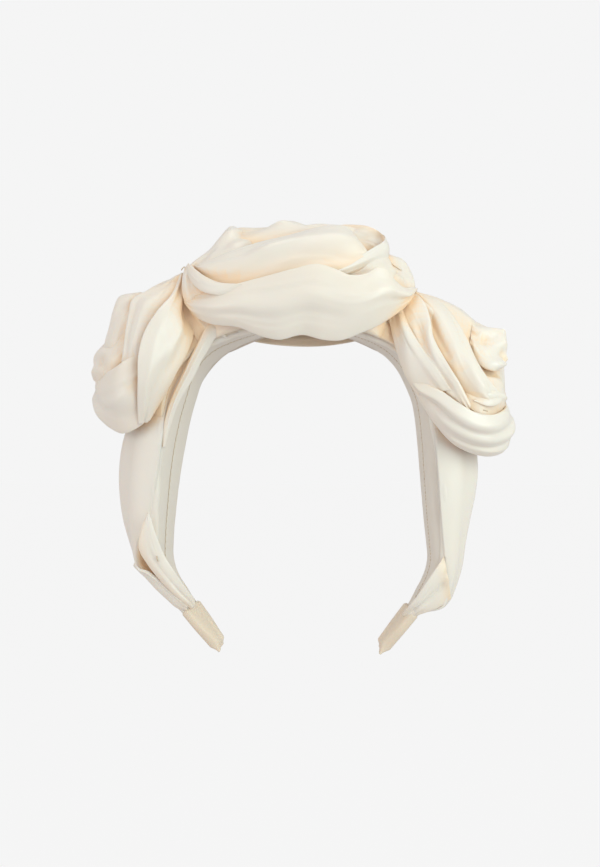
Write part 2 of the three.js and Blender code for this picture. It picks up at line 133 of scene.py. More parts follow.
def nodes_of(material):
    """The material's nodes and a short way to add and join them."""
    material.use_nodes = True
    tree = material.node_tree
    shader = tree.nodes["Principled BSDF"]

    def add(kind, **values):
        node = tree.nodes.new(kind)
        for name, value in values.items():
            setattr(node, name, value)
        return node

    return shader, add, tree.links.new


plastic = bpy.data.materials.new("milky plastic")
shader, add, join = nodes_of(plastic)
place = add("ShaderNodeTexCoord")
cloud = add("ShaderNodeTexNoise")
cloud.inputs["Scale"].default_value = 90
cloud.inputs["Detail"].default_value = 3
ramp = add("ShaderNodeValToRGB")
ramp.color_ramp.elements[0].color = (0.80, 0.78, 0.72, 1)
ramp.color_ramp.elements[1].color = (0.86, 0.84, 0.79, 1)
join(place.outputs["Object"], cloud.inputs["Vector"])
join(cloud.outputs["Fac"], ramp.inputs["Fac"])
join(ramp.outputs["Color"], shader.inputs["Base Color"])
shader.inputs["Roughness"].default_value = 0.4

for node in ("core_crown", "core_leg_left", "core_leg_right"):
    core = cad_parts[node]
    core.data.materials.clear()
    core.data.materials.append(plastic)


# ---- Sleeve ----
# A tube of the same satin, dull side showing on the inside of the band, pulled over the core. Its two edges
# meet in a seam down the inside, a little in front of the middle, closed by small slip stitches.
# It is sewn in two halves that meet at the crown.

BAND_ARCS = [(0.079, 25), (0.038, 53), (0.320, 12), (0.026, 38)]  # radius, and turn in degrees
BAND_STRAIGHT = 0.032
BAND_LENGTH = sum(radius * math.radians(turn) for radius, turn in BAND_ARCS) + BAND_STRAIGHT
BAND_FLARE = math.radians(10)
FLARE_FROM, FLARE_FULL = 0.005, 0.060
FLEX_AT = 0.088
SLEEVE_WIDE, SLEEVE_NARROW = 0.0304, 0.0104
SLEEVE_THICK = 0.0040
SEAM_FORWARD = 0.004


def eased(x, low, high):
    """0 below low, 1 above high, and a smooth step 3t^2 - 2t^3 between."""
    t = np.clip((x - low) / (high - low), 0, 1)
    return t * t * (3 - 2 * t)


def band_at(distance):
    """The band's inner line at each distance along it from the crown, and its outward and backward
    directions. The line is arcs that meet smoothly and a straight end, mirrored where the distance is
    negative. The section leans by a flare that grows from nothing at the crown."""
    side = np.where(distance < 0, -1.0, 1.0)
    left = np.abs(distance).astype(float)
    heading, x, z = np.zeros((3, *left.shape))
    for radius, turn in BAND_ARCS:
        part = np.minimum(left, radius * math.radians(turn)) / radius
        x = x + radius * (np.sin(heading + part) - np.sin(heading))
        z = z - radius * (np.cos(heading) - np.cos(heading + part))
        heading = heading + part
        left = left - radius * part
    x, z = x + left * np.cos(heading), z - left * np.sin(heading)
    zero = np.zeros_like(x)
    inner = np.stack([side * x, zero, z], axis=-1)
    normal = np.stack([side * np.sin(heading), zero, np.cos(heading)], axis=-1)
    flare = (BAND_FLARE * eased(np.abs(distance), FLARE_FROM, FLARE_FULL))[..., None]
    rearward = np.array([0.0, 1.0, 0.0])
    out = normal * np.cos(flare) + rearward * np.sin(flare)
    back = rearward * np.cos(flare) - normal * np.sin(flare)
    return inner, out, back


def sleeve_width(distance):
    """The full width down to where the leg flexes, then an even taper to the narrow end."""
    share = np.clip((np.abs(distance) - FLEX_AT) / (BAND_LENGTH - FLEX_AT), 0, 1)
    return SLEEVE_WIDE + (SLEEVE_NARROW - SLEEVE_WIDE) * share


def along_band(distance, back, out):
    """Points placed from the band's inner line: back and out are offsets, one row for each distance."""
    inner, outward, backward = band_at(distance)
    return inner[:, None] + backward[:, None] * back[..., None] + outward[:, None] * out[..., None]


def skin(name, rings, hollow=None):
    """A closed surface over rings of points, one ring for each station along it, with each end closed by a fan
    to the middle of its ring. Faces point outwards. The UV map is in metres, round the ring and along it.
    hollow is how far into the folds each point lies, from 0 to 1, and sets how much painted shade tints the
    cloth."""
    count, around = rings.shape[:2]
    points = np.concatenate([rings.reshape(-1, 3), rings[[0, -1]].mean(axis=1)])
    station, step = np.meshgrid(np.arange(count - 1), np.arange(around), indexing="ij")
    after = (step + 1) % around
    quads = np.stack(
        [station * around + step, station * around + after,
         (station + 1) * around + after, (station + 1) * around + step], axis=-1).reshape(-1, 4)
    ring = np.arange(around)
    turned = (ring + 1) % around
    base = (count - 1) * around
    start = np.stack([np.full(around, count * around), turned, ring], axis=-1)
    end = np.stack([np.full(around, count * around + 1), base + ring, base + turned], axis=-1)
    girth = np.linalg.norm(np.roll(rings, -1, axis=1) - rings, axis=-1).max(axis=0)
    u = np.concatenate([[0], np.cumsum(girth)])
    spine = rings.mean(axis=1)
    v = np.concatenate([[0], np.cumsum(np.linalg.norm(np.diff(spine, axis=0), axis=1))])
    quad_u = np.stack([u[step], u[step + 1], u[step + 1], u[step]], axis=-1)
    quad_v = np.stack([v[station], v[station], v[station + 1], v[station + 1]], axis=-1)
    quad_uv = np.stack([quad_u, quad_v], axis=-1).reshape(-1, 2)
    fan_u = np.stack([u[ring] * 0, u[ring + 1], u[ring]], axis=-1)
    start_uv = np.stack([fan_u, np.zeros_like(fan_u)], axis=-1).reshape(-1, 2)
    end_uv = np.stack([fan_u, np.full_like(fan_u, v[-1])], axis=-1).reshape(-1, 2)
    a, b, c, d = (points[quads[:, k]] - points.mean(axis=0) for k in range(4))
    inside_out = (a * np.cross(b, c)).sum() + (a * np.cross(c, d)).sum() < 0
    faces = [*quads.tolist(), *start.tolist(), *end.tolist()]
    uv = [quad_uv.reshape(-1, 4, 2), start_uv.reshape(-1, 3, 2), end_uv.reshape(-1, 3, 2)]
    if inside_out:
        faces = [face[::-1] for face in faces]
        uv = [part[:, ::-1] for part in uv]
    mesh = bpy.data.meshes.new(name)
    mesh.from_pydata(points, [], faces)
    layer = mesh.uv_layers.new(name="cloth")
    layer.data.foreach_set("uv", np.concatenate([part.ravel() for part in uv]).astype(np.float32))
    # How much painted shade each point gets, from 0 to 1: none unless a share is given.
    shade_share = np.zeros((count, around)) if hollow is None else np.broadcast_to(hollow, (count, around))
    values = np.concatenate([shade_share.ravel(), shade_share[0].mean()[None], shade_share[-1].mean()[None]])
    attribute = mesh.attributes.new("hollow", "FLOAT", "POINT")
    attribute.data.foreach_set("value", values.astype(np.float32))
    mesh.shade_smooth()
    piece = bpy.data.objects.new(name, mesh)
    bpy.context.collection.objects.link(piece)
    return piece


def cloth(name, light, shade_tone, roughness, sheen, thread, slub):
    """A woven cloth: warp and weft threads as crossed waves on the UV map, uneven threads as fine noise, slow
    changes of colour over the piece, and painted shade: a warm peach tone, standing for the shade and warm
    bounced light in folds, mixed in where the piece lies in folds."""
    material = bpy.data.materials.new(name)
    shader, add, join = nodes_of(material)
    uv = add("ShaderNodeUVMap", uv_map="cloth")
    spot = add("ShaderNodeTexCoord")
    hollow = add("ShaderNodeAttribute", attribute_name="hollow")
    cloud = add("ShaderNodeTexNoise")
    cloud.inputs["Scale"].default_value = 34
    cloud.inputs["Detail"].default_value = 2
    join(spot.outputs["Object"], cloud.inputs["Vector"])
    shade = add("ShaderNodeMath", operation="MULTIPLY_ADD")
    shade.inputs[1].default_value = 0.16
    shade.inputs[2].default_value = -0.06
    join(cloud.outputs["Fac"], shade.inputs[0])
    total = add("ShaderNodeMath", operation="ADD", use_clamp=True)
    join(shade.outputs[0], total.inputs[0])
    join(hollow.outputs["Fac"], total.inputs[1])
    # The painted shade tone is mixed into the cloth's colour by the point's share of painted shade, with the
    # slow colour changes added.
    tone = add("ShaderNodeMix", data_type="RGBA")
    tone.inputs[6].default_value = light
    tone.inputs[7].default_value = shade_tone
    join(total.outputs[0], tone.inputs[0])
    join(tone.outputs[2], shader.inputs["Base Color"])
    warp = add("ShaderNodeTexWave", bands_direction="X")
    weft = add("ShaderNodeTexWave", bands_direction="Y")
    warp.inputs["Scale"].default_value = 0.314 / thread
    weft.inputs["Scale"].default_value = 0.314 / (thread * 1.6)
    join(uv.outputs["UV"], warp.inputs["Vector"])
    join(uv.outputs["UV"], weft.inputs["Vector"])
    weave = add("ShaderNodeMath", operation="MULTIPLY_ADD")
    weave.inputs[1].default_value = 0.35
    join(weft.outputs["Fac"], weave.inputs[0])
    join(warp.outputs["Fac"], weave.inputs[2])
    uneven = add("ShaderNodeTexNoise")
    uneven.inputs["Scale"].default_value = 900
    uneven.inputs["Detail"].default_value = 2
    join(uv.outputs["UV"], uneven.inputs["Vector"])
    height = add("ShaderNodeMath", operation="MULTIPLY_ADD")
    height.inputs[1].default_value = slub
    join(uneven.outputs["Fac"], height.inputs[0])
    join(weave.outputs[0], height.inputs[2])
    bump = add("ShaderNodeBump")
    bump.inputs["Strength"].default_value = 0.25
    bump.inputs["Distance"].default_value = thread * 0.12
    join(height.outputs[0], bump.inputs["Height"])
    join(bump.outputs["Normal"], shader.inputs["Normal"])
    glaze = add("ShaderNodeMapRange")
    glaze.inputs["To Min"].default_value = roughness - 0.04
    glaze.inputs["To Max"].default_value = roughness + 0.05
    join(uneven.outputs["Fac"], glaze.inputs["Value"])
    join(glaze.outputs["Result"], shader.inputs["Roughness"])
    shader.inputs["Sheen Weight"].default_value = sheen
    shader.inputs["Sheen Roughness"].default_value = 0.45
    shader.inputs["Specular IOR Level"].default_value = 0.5
    shader.inputs["Subsurface Weight"].default_value = 0.12
    shader.inputs["Subsurface Radius"].default_value = (1.0, 0.6, 0.35)
    shader.inputs["Subsurface Scale"].default_value = 0.004
    return material


lining = cloth("satin dull side", (0.76, 0.70, 0.625, 1), (0.70, 0.54, 0.40, 1), 0.55, 0.15, 0.00035, 0.6)
stitch_thread = cloth("sewing thread", (0.58, 0.47, 0.34, 1), (0.50, 0.38, 0.26, 1), 0.6, 0.1, 0.0002, 0.3)


def smooth_through(points, at):
    """A smooth curve through the points, worked out at each value of the first column: cubic pieces whose slope
    at a point is that of the line between its neighbours."""
    points = np.array(points, float)
    x, y = points[:, 0], points[:, 1:]
    slope = np.gradient(y, x, axis=0)
    i = np.clip(np.searchsorted(x, at) - 1, 0, len(x) - 2)
    width = (x[i + 1] - x[i])[:, None]
    t = np.clip((at - x[i])[:, None] / width, 0, 1)
    return (
        y[i] * (1 + 2 * t) * (1 - t) ** 2 + y[i + 1] * t * t * (3 - 2 * t)
        + slope[i] * width * t * (1 - t) ** 2 - slope[i + 1] * width * t * t * (1 - t)
    )


LINING_SLACK = {  # distance along the band and how far the lining hangs off the core
    "left": [(0, 0), (30, 0), (46, 0.2), (56, 1.8), (64, 3.0), (76, 2.4), (92, 1.8), (115, 1.4), (140, 0.5),
             (160, 0)],
    "right": [(0, 0), (44, 0.2), (60, 2.2), (70, 2.2), (88, 3.4), (100, 4.2), (120, 4.4), (140, 3.0),
              (152, 2.2), (164, 0)],
}


def sleeve_rings(name, side):
    """The sleeve's outline carried along half the band: a flat oval, |sin|^0.45 through its thickness so that
    its faces are nearly flat. Its inner face hangs slack by 1 - off^4, where off is 1 at its edges, and dips in
    a gaussian groove along the seam."""
    distance = side * np.linspace(0.00025, BAND_LENGTH, 260)
    angle = np.linspace(0, 2 * np.pi, 120, endpoint=False)[None]
    half = sleeve_width(distance)[:, None] / 2
    back = half * np.sign(np.cos(angle)) * np.abs(np.cos(angle)) ** 0.75
    lift = np.sign(np.sin(angle)) * np.abs(np.sin(angle)) ** 0.45
    out = SLEEVE_THICK / 2 * (1 + lift)
    seam = -SEAM_FORWARD * half * 2 / SLEEVE_WIDE
    groove = np.exp(-(((back - seam) / 0.0006) ** 2)) * (np.sin(angle) < 0)
    crimp = 0.00012 * np.sin(np.abs(distance)[:, None] * 2 * np.pi / 0.0031)
    slack = smooth_through(LINING_SLACK[name], np.abs(distance) / MM) * MM
    out = out - slack * (1 - (back / half) ** 6) * (np.sin(angle) < 0) + groove * (0.0007 + crimp)
    near_edge = np.exp(-(((np.abs(back) - half) / 0.002) ** 2))
    out = out + 0.00015 * near_edge * np.sin(distance[:, None] * 620 + 2 * np.sin(distance[:, None] * 170))
    squeeze = 1 - 0.3 * eased(np.abs(distance), BAND_LENGTH - 0.0205, BAND_LENGTH - 0.0185)[:, None]
    squeeze = squeeze - 0.25 * eased(np.abs(distance), BAND_LENGTH - 0.006, BAND_LENGTH)[:, None]
    return along_band(distance, back * squeeze, SLEEVE_THICK / 2 + (out - SLEEVE_THICK / 2) * squeeze)


SIDES = {"left": -1, "right": 1}
for name, side in SIDES.items():
    sleeve = skin(f"sleeve_{name}_half", sleeve_rings(name, side))
    sleeve.data.materials.append(lining)
    wall = sleeve.modifiers.new("cloth thickness", "SOLIDIFY")
    wall.thickness = 0.0004
    wall.offset = -1
    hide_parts("sleeve_crown", f"sleeve_leg_{name}")
    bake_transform(sleeve)

STITCH_PITCH = 0.0031
STITCH_RADIUS = 0.00016


def stitch_rings(name, side):
    """One thread laid along the seam: its path dips under the cloth between stitches, a sine along the seam
    that is raised to show each slip stitch, with a round section carried along it."""
    distance = side * np.linspace(0.004, BAND_LENGTH - 0.020, 1500)
    half = sleeve_width(distance) / 2
    seam = -SEAM_FORWARD * half * 2 / SLEEVE_WIDE
    wave = np.sin(distance * 2 * np.pi / STITCH_PITCH)
    angle = np.linspace(0, 2 * np.pi, 8, endpoint=False)[None]
    back = seam[:, None] + 0.0003 * wave[:, None] + STITCH_RADIUS * np.cos(angle)
    slack = smooth_through(LINING_SLACK[name], np.abs(distance) / MM) * MM
    out = 0.00045 - slack - 0.0003 * np.abs(wave)[:, None] + STITCH_RADIUS * np.sin(angle)
    return along_band(distance, back, out)


for name, side in SIDES.items():
    seam_thread = skin(f"seam_thread_{name}", stitch_rings(name, side))
    seam_thread.data.materials.append(stitch_thread)
    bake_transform(seam_thread)


# ---- Tip caps ----
# A piece of ribbon folded round each end of the band and pinched flat past it, so that it ends in two small
# points. The fold makes a ridge along the front edge, and the ribbon's free edge lies on the inner face.

cap_cloth = cloth("folded ribbon", (0.76, 0.67, 0.55, 1), (0.74, 0.56, 0.40, 1), 0.5, 0.2, 0.0003, 0.3)
CAP_LENGTH = 0.021
CAP_PAST = 0.0022


def cap_rings(side):
    """A flat oval with a ridged front edge, carried along the band's last stretch. It narrows evenly by about a
    quarter, and thins to a pinch past the band's end, where a notch of |back| parts the two points."""
    distance = np.linspace(BAND_LENGTH - CAP_LENGTH, BAND_LENGTH + CAP_PAST, 70)
    angle = np.linspace(0, 2 * np.pi, 96, endpoint=False)[None]
    taper = 1 - 0.28 * eased(distance, BAND_LENGTH - 0.013, BAND_LENGTH + CAP_PAST)
    half = ((sleeve_width(distance) / 2 + 0.0012) * taper)[:, None]
    pinch = eased(distance, BAND_LENGTH - 0.001, BAND_LENGTH + CAP_PAST)[:, None]
    mouth = 1 - eased(distance, distance[0] - 0.0001, distance[0] + 0.0012)[:, None]
    back = half * np.sign(np.cos(angle)) * np.abs(np.cos(angle)) ** 0.85 * (1 - 0.12 * mouth)
    thick = (SLEEVE_THICK / 2 + 0.0012) * (1 - 0.72 * pinch) * (1 - 0.18 * mouth)
    front = 0.5 - 0.5 * np.tanh((back + 0.2 * half) / (0.5 * half))
    power = 0.42 + 0.2 * front
    rise = np.sign(np.sin(angle)) * np.abs(np.sin(angle)) ** power
    overlap = 0.00035 * np.tanh((back - 0.15 * half) / 0.0003) * (np.sin(angle) < 0)
    out = SLEEVE_THICK / 2 + thick * rise - overlap * (1 - pinch)
    rings = along_band(side * distance, back, out)
    ahead = band_at(side * distance)[0][-1] - band_at(side * distance)[0][-2]
    ahead = ahead / np.linalg.norm(ahead)
    points = 0.0009 * pinch * (np.abs(np.cos(angle)) - 0.45 - 0.8 * np.cos(angle))
    return rings + points[..., None] * ahead


for name, side in SIDES.items():
    cap = skin(f"cap_{name}", cap_rings(side), hollow=0.15)
    cap.data.materials.append(cap_cloth)
    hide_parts(f"tip_cap_{name}")
    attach(cap, f"leg_{name}")


# ---- Sash tails ----
# The two ends of a wide ivory satin sash. Each comes out from under its knot, hangs as a hollow pleat over the
# outside of the leg with its front edge turned round the sleeve, and is gathered into the tip cap.

satin = cloth("ivory satin", (0.805, 0.762, 0.70, 1), (0.90, 0.68, 0.47, 1), 0.30, 0.25, 0.00028, 0.4)

TAIL_START = 0.058
TAIL_END = BAND_LENGTH - CAP_LENGTH + 0.002
TAIL_PUFF = {  # distance along the band and how far the pleat stands off the sleeve
    "left": [(58, 7), (74, 15), (86, 18.5), (100, 19.6), (112, 18.4), (124, 15.4), (132, 12.2), (138, 9.8),
             (143, 8), (147, 4.2), (151, 2.2), (157, 1.6), (163, 1.2), (169, 0.8)],
    "right": [(58, 6), (74, 12), (86, 16), (100, 16.6), (112, 14.2), (122, 11), (128, 9.4), (138, 7.6),
              (147, 7.2), (152, 7.8), (157, 6.6), (161, 3.4), (165, 0.8), (169, 0.6)],
}
TAIL_FRONT = {  # distance along the band and how far the front edge has left the sleeve
    "left": [(58, 1), (108, 1), (117, 3), (126, 6.5), (135, 10), (142, 9.5), (147, 5.4), (152, 3.4), (162, 2.6),
             (169, 2.2)],
    "right": [(58, 1), (134, 1.2), (142, 2.5), (148, 5), (152, 8.5), (155, 9.5), (158, 7.5), (161, 5), (165, 3),
              (169, 2.4)],
}


def tail_rings(name, side):
    """An arch over the outside of the sleeve, carried down the leg. The arch is half an oval from the front
    edge to the back edge, and returns close over the sleeve. Long shallow pleats run down it, and its
    front edge lifts off the sleeve where the tail is folded up."""
    distance = np.linspace(TAIL_START, TAIL_END, 170)
    puff = smooth_through(TAIL_PUFF[name], distance / MM)[:, 0] * MM
    front = smooth_through(TAIL_FRONT[name], distance / MM)[:, 0] * MM
    half = sleeve_width(distance) / 2 + 0.0016 - 0.0013 * eased(distance, 0.155, 0.164)
    arch = np.linspace(0, np.pi, 92)[None]
    base_out = SLEEVE_THICK + 0.0003
    foot = front[:, None] * (1 + np.cos(arch)) / 2 + 0.001 * (1 - np.cos(arch)) / 2
    crest = base_out + puff[:, None]
    arch_back = -half[:, None] * np.cos(arch)
    arch_out = foot + (crest - foot) * np.sin(arch) ** 0.82
    down = distance[:, None]
    pleat = (
        0.0009 * np.exp(-(((arch - 1.05 - 2.2 * (down - 0.1)) / 0.16) ** 2))
        - 0.0008 * np.exp(-(((arch - 0.72 - 1.2 * (down - 0.1)) / 0.15) ** 2))
        + 0.0006 * np.exp(-(((arch - 1.75 + 1.5 * (down - 0.1)) / 0.2) ** 2))
        - 0.0007 * np.exp(-(((arch - 2.2 + 1.0 * (down - 0.1)) / 0.15) ** 2))
    )
    ripple = 0.00025 * np.sin(9 * arch + 40 * down) * np.sin(70 * down + 2)
    arch_out = arch_out + (pleat + ripple) * np.sin(arch) * np.clip(puff[:, None] / 0.01, 0, 1)
    inner_half = (half - 0.0011)[:, None]
    share = np.linspace(0, 1, 30)[None]
    base_back = inner_half * (1 - 2 * share)
    lifted = np.maximum(front - 0.0012, base_out)[:, None]
    at_front = eased(share, 0.55, 0.97)
    base_line = base_out + (lifted - base_out) * at_front
    tuck = np.where(share < 0.03, 0.0012, base_line)
    tuck = np.where((share > 0.97) & (front[:, None] < base_out), 0.0012, tuck)
    back = np.concatenate([arch_back, base_back], axis=1)
    out = np.concatenate([arch_out, tuck], axis=1)
    return along_band(side * distance, back, out)


for name, side in SIDES.items():
    rings = tail_rings(name, side)
    # The base that lies against the sleeve gets a 0.8 share of painted shade; the arch gets none.
    shade_share = np.concatenate([np.zeros(92), np.full(30, 0.8)])[None] * np.ones((len(rings), 1))
    tail = skin(f"sash_tail_{name}", rings, hollow=shade_share)
    tail.data.materials.append(satin)
    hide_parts(f"leg_sash_{name}")
    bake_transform(tail)


# The front edge of the sleeve is bound with a narrow roll of the sash's satin, which shows as a pale line
# beside the lining all round the band.


def roll_rings(side):
    """A small oval carried along the sleeve's front edge, with long soft dents where it is stitched down."""
    distance = side * np.linspace(0.0005, BAND_LENGTH - 0.028, 240)
    half = sleeve_width(distance)[:, None] / 2
    angle = np.linspace(0, 2 * np.pi, 48, endpoint=False)[None]
    along = np.abs(distance)[:, None]
    plump = 1 + 0.10 * np.sin(along * 330) * np.sin(along * 90 + 1)
    thin = 1 - 0.5 * eased(along, 0.120, BAND_LENGTH - 0.028)
    back = -half + 0.0004 + 0.0019 * plump * thin * np.cos(angle)
    out = SLEEVE_THICK / 2 + 0.0002 + 0.0024 * plump * (0.6 + 0.4 * thin) * np.sin(angle)
    return along_band(distance, back, out)


for name, side in SIDES.items():
    roll = skin(f"edge_roll_{name}", roll_rings(side))
    roll.data.materials.append(satin)
    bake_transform(roll)


# ---- Knots ----
# The middle of the sash, wound, folded and tacked over the top of the band into a large centre knot with a
# smaller one on each side. Each fold is the cloth doubled over on itself, soft and crisp-edged.


def even_line(points, count):
    """A smooth line through the points, with count points spread evenly along it."""
    points = np.array(points, float) * MM
    knots = np.concatenate([[0], np.cumsum(np.linalg.norm(np.diff(points, axis=0), axis=1))])
    fine = smooth_through(np.column_stack([knots, points]), np.linspace(0, knots[-1], 600))
    run = np.concatenate([[0], np.cumsum(np.linalg.norm(np.diff(fine, axis=0), axis=1))])
    at = np.linspace(0, run[-1], count)
    return np.stack([np.interp(at, run, fine[:, k]) for k in range(3)], axis=-1)


SOFT_CREASES = (0.5, -0.45, 0.35, -0.3, 0.3)
SLOW_WAVES = (0.60, 0.35, 0.16, 0.10)
END_PLEATS = 0.35
END_THICKNESS = 0.4


def fold_rings(edge_a, edge_b, heart, thick, crown, creases, seed):
    """A doubled fold of cloth between two edge lines. Across it, a flat oval is bowed outwards by
    4c(1 - c) times crown, where c runs from one edge to the other. Creases are long gaussian ridges, or
    valleys where negative, whose place across moves evenly along the fold. Short random creases, slow random
    waves and small pleats at the ends are added, weaker on a narrow strip. It thins to a share of its
    thickness at each end."""
    count, around = 120, 88
    a, b = even_line(edge_a, count), even_line(edge_b, count)
    across = b - a
    run = np.gradient((a + b) / 2, axis=0)
    normal = np.cross(run, across)
    normal /= np.linalg.norm(normal, axis=1, keepdims=True)
    if (normal[count // 2] * ((a + b)[count // 2] / 2 - np.array(heart) * MM)).sum() < 0:
        normal = -normal
    padded = np.pad(normal, ((6, 6), (0, 0)), mode="edge")
    normal = np.stack([np.convolve(padded[:, k], np.hanning(15)[1:-1] / 7, "valid") for k in range(3)], axis=-1)
    normal /= np.linalg.norm(normal, axis=1, keepdims=True)
    u = np.linspace(0, 1, count)[:, None]
    angle = np.linspace(0, 2 * np.pi, around, endpoint=False)[None]
    c = (1 - np.sign(np.cos(angle)) * np.abs(np.cos(angle)) ** 0.9) / 2
    full = END_THICKNESS + (1 - END_THICKNESS) * np.sqrt(np.clip(1 - np.abs(2 * u - 1) ** 4, 0, 1))
    lens = np.sign(np.sin(angle)) * np.abs(np.sin(angle)) ** 0.6 * thick * MM / 3 * full
    bow = crown * MM * 4 * c * (1 - c) * (0.35 + 0.65 * np.sin(np.pi * np.clip(u, 0.02, 0.98)) ** 0.6)
    relief = np.zeros((count, around))
    for start, stop, width, height, first, last in creases:
        middle = start + (stop - start) * u
        window = eased(u, first, first + 0.15) * (1 - eased(u, last - 0.15, last))
        relief = relief + height * MM * window * np.exp(-(((c - middle) / width) ** 2))
    rng = np.random.default_rng(seed)
    wide = np.linalg.norm(across, axis=1).mean() / 0.02
    light = min(1, wide)
    for sharp in SOFT_CREASES:
        first, drift, width = rng.uniform(0.12, 0.88), rng.uniform(-0.3, 0.3), rng.uniform(0.025, 0.05)
        middle = first + drift * (u - 0.5) + 0.02 * np.sin(2 * np.pi * (u * 1.7 + first))
        begin = rng.uniform(0, 0.55)
        window = eased(u, begin, begin + 0.15) * (1 - eased(u, begin + 0.25, begin + 0.5))
        relief = relief + sharp * light * MM * window / (1 + ((c - middle) / width) ** 2)
    for size in SLOW_WAVES:
        along, over = rng.uniform(0.5, 1.6), rng.uniform(0.7, 2.2) * wide
        turn, bend = rng.uniform(0, 2 * np.pi, 2)
        wave = np.sin(2 * np.pi * (over * c + along * u) + turn + 1.5 * np.sin(2 * np.pi * u + bend))
        relief = relief + size * light * MM * wave * (4 * c * (1 - c)) ** 0.5
    for near in (np.exp(-((u / 0.10) ** 2)), np.exp(-(((1 - u) / 0.10) ** 2))):
        pleats, shift = rng.uniform(3.5, 5.5) * wide**0.5, rng.uniform(0, 2 * np.pi)
        pleating = np.sin(2 * np.pi * pleats * c + shift) * (4 * c * (1 - c)) ** 0.5
        relief = relief + END_PLEATS * light * MM * near * pleating
    height = lens + bow + relief
    return a[:, None] + across[:, None] * c[..., None] + normal[:, None] * height[..., None], c, u, angle


fold_seeds = iter(range(8, 108))


def fold(name, node, edge_a, edge_b, heart, thick=3.0, crown=2.0, creases=(), shade=(0, 0, 0, 0), body="crown"):
    """Makes one fold, given painted shade near edge a, near edge b, at its start and at its end by the shares
    in shade, and a half share of painted shade on the face turned in towards the heart. It stands for the node,
    if there is one, and moves with the body."""
    rings, c, u, angle = fold_rings(edge_a, edge_b, heart, thick, crown, creases, next(fold_seeds))
    at_a, at_b, at_start, at_end = shade
    # Painted shade near each edge and each end, where the fold tucks under its neighbours, by the shares in
    # shade.
    hollow = (
        at_a * np.exp(-((c / 0.3) ** 2)) + at_b * np.exp(-(((1 - c) / 0.3) ** 2))
        + at_start * np.exp(-((u / 0.16) ** 2)) + at_end * np.exp(-(((1 - u) / 0.16) ** 2))
    )
    # The face turned in towards the heart gets a fixed half share of painted shade.
    hollow = np.clip(np.where(np.sin(angle) < -0.2, 0.5, hollow), 0, 1)
    piece = skin(name, rings, hollow)
    piece.data.materials.append(satin)
    if node:
        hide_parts(node)
    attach(piece, body)


def gather_rings(middle, reach, height, half_width):
    """The gathered cloth inside a knot: a dome over the sleeve, swelling to its middle by the root of
    1 - off^2, with pleats that run along the band and crowd together at both ends."""
    off = np.linspace(-0.995, 0.995, 90)[:, None]
    distance = middle + reach * off[:, 0]
    swell = np.sqrt(1 - off**2)
    half = (sleeve_width(distance)[:, None] / 2 + 0.001) * (1 - swell) + half_width * swell
    high = SLEEVE_THICK + 0.001 + (height - SLEEVE_THICK - 0.001) * swell
    arch = np.linspace(0, np.pi, 120)[None]
    pleats = 0.0006 * np.sin(26 * arch + 3 * off) + 0.0005 * np.sin(17 * arch - 4 * off)
    cover = np.sin(arch) ** 0.6
    back = half * -np.sign(np.cos(arch)) * np.abs(np.cos(arch)) ** 0.6
    out = 0.0012 + (high - 0.0012 + pleats * swell) * cover
    share = np.linspace(0.02, 0.98, 30)[None]
    inner = (sleeve_width(distance)[:, None] / 2 + 0.0006) * (1 - 2 * share)
    under = np.broadcast_to(SLEEVE_THICK + 0.0004, inner.shape)
    return along_band(distance, np.concatenate([back, inner], axis=1), np.concatenate([out, under], axis=1))


# Where each gather's middle is along the band, how far it reaches to each side, its height and its half width.
GATHERS = {"centre": (0, 37, 38, 25.5), "left": (-57, 20, 26, 18.5), "right": (60, 22, 26, 19)}
for name, shape in GATHERS.items():
    # The gathers lie under the folds and are given an even 0.45 share of painted shade.
    gather = skin(f"{name}_gather", gather_rings(*(value * MM for value in shape)), hollow=0.45)
    gather.data.materials.append(satin)
    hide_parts(f"{name}_knot_gather")
    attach(gather, "crown")

# Between the knots the sash narrows to a neck over the band.
for name, side in SIDES.items():
    # The necks sit low between the knots and are given an even half share of painted shade.
    neck = skin(f"neck_{name}", gather_rings(side * 0.040, 0.015, 0.015, 0.0175), hollow=0.5)
    neck.data.materials.append(satin)
    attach(neck, "crown")

CENTRE = (0, 0, 14)
LEFT = (-64, 0, -12)
RIGHT = (64, 0, -14)

# The centre knot. The front fold is a long leaf that hangs over the band's front edge.
fold(
    "centre_front", "centre_front_fold",
    [(-48, -18, 14), (-39, -25, 15.5), (-27, -30, 17.5), (-13, -33, 20.5), (0, -35, 23.5), (11, -35, 25.5),
     (18, -34, 23.5), (24, -33.5, 21), (31, -32, 21.5), (36.5, -30, 24.5), (40, -28, 24), (43, -25, 20),
     (47, -20, 17), (51, -12, 18)],
    [(-48.5, -18, 10), (-46, -20, 6), (-37, -26, 1), (-24, -29, -1), (-14, -29.5, -5), (-7, -30, -6.5),
     (4, -30, -4.5), (12, -30, -6.5), (19, -29, -7), (29, -27, -3.5), (38, -23, 1), (46, -18, 7),
     (51.5, -11, 14)],
    CENTRE, thick=3.2, crown=3.2,
    creases=[(0.5, 0.45, 0.16, 1.0, 0.0, 0.9), (0.75, 0.55, 0.08, -0.7, 0.1, 0.7),
             (0.2, 0.35, 0.08, 0.8, 0.55, 1.0), (0.5, 0.55, 0.08, -0.8, 0.65, 1.0)],
    shade=(0.1, 0.05, 0.25, 0.1),
)
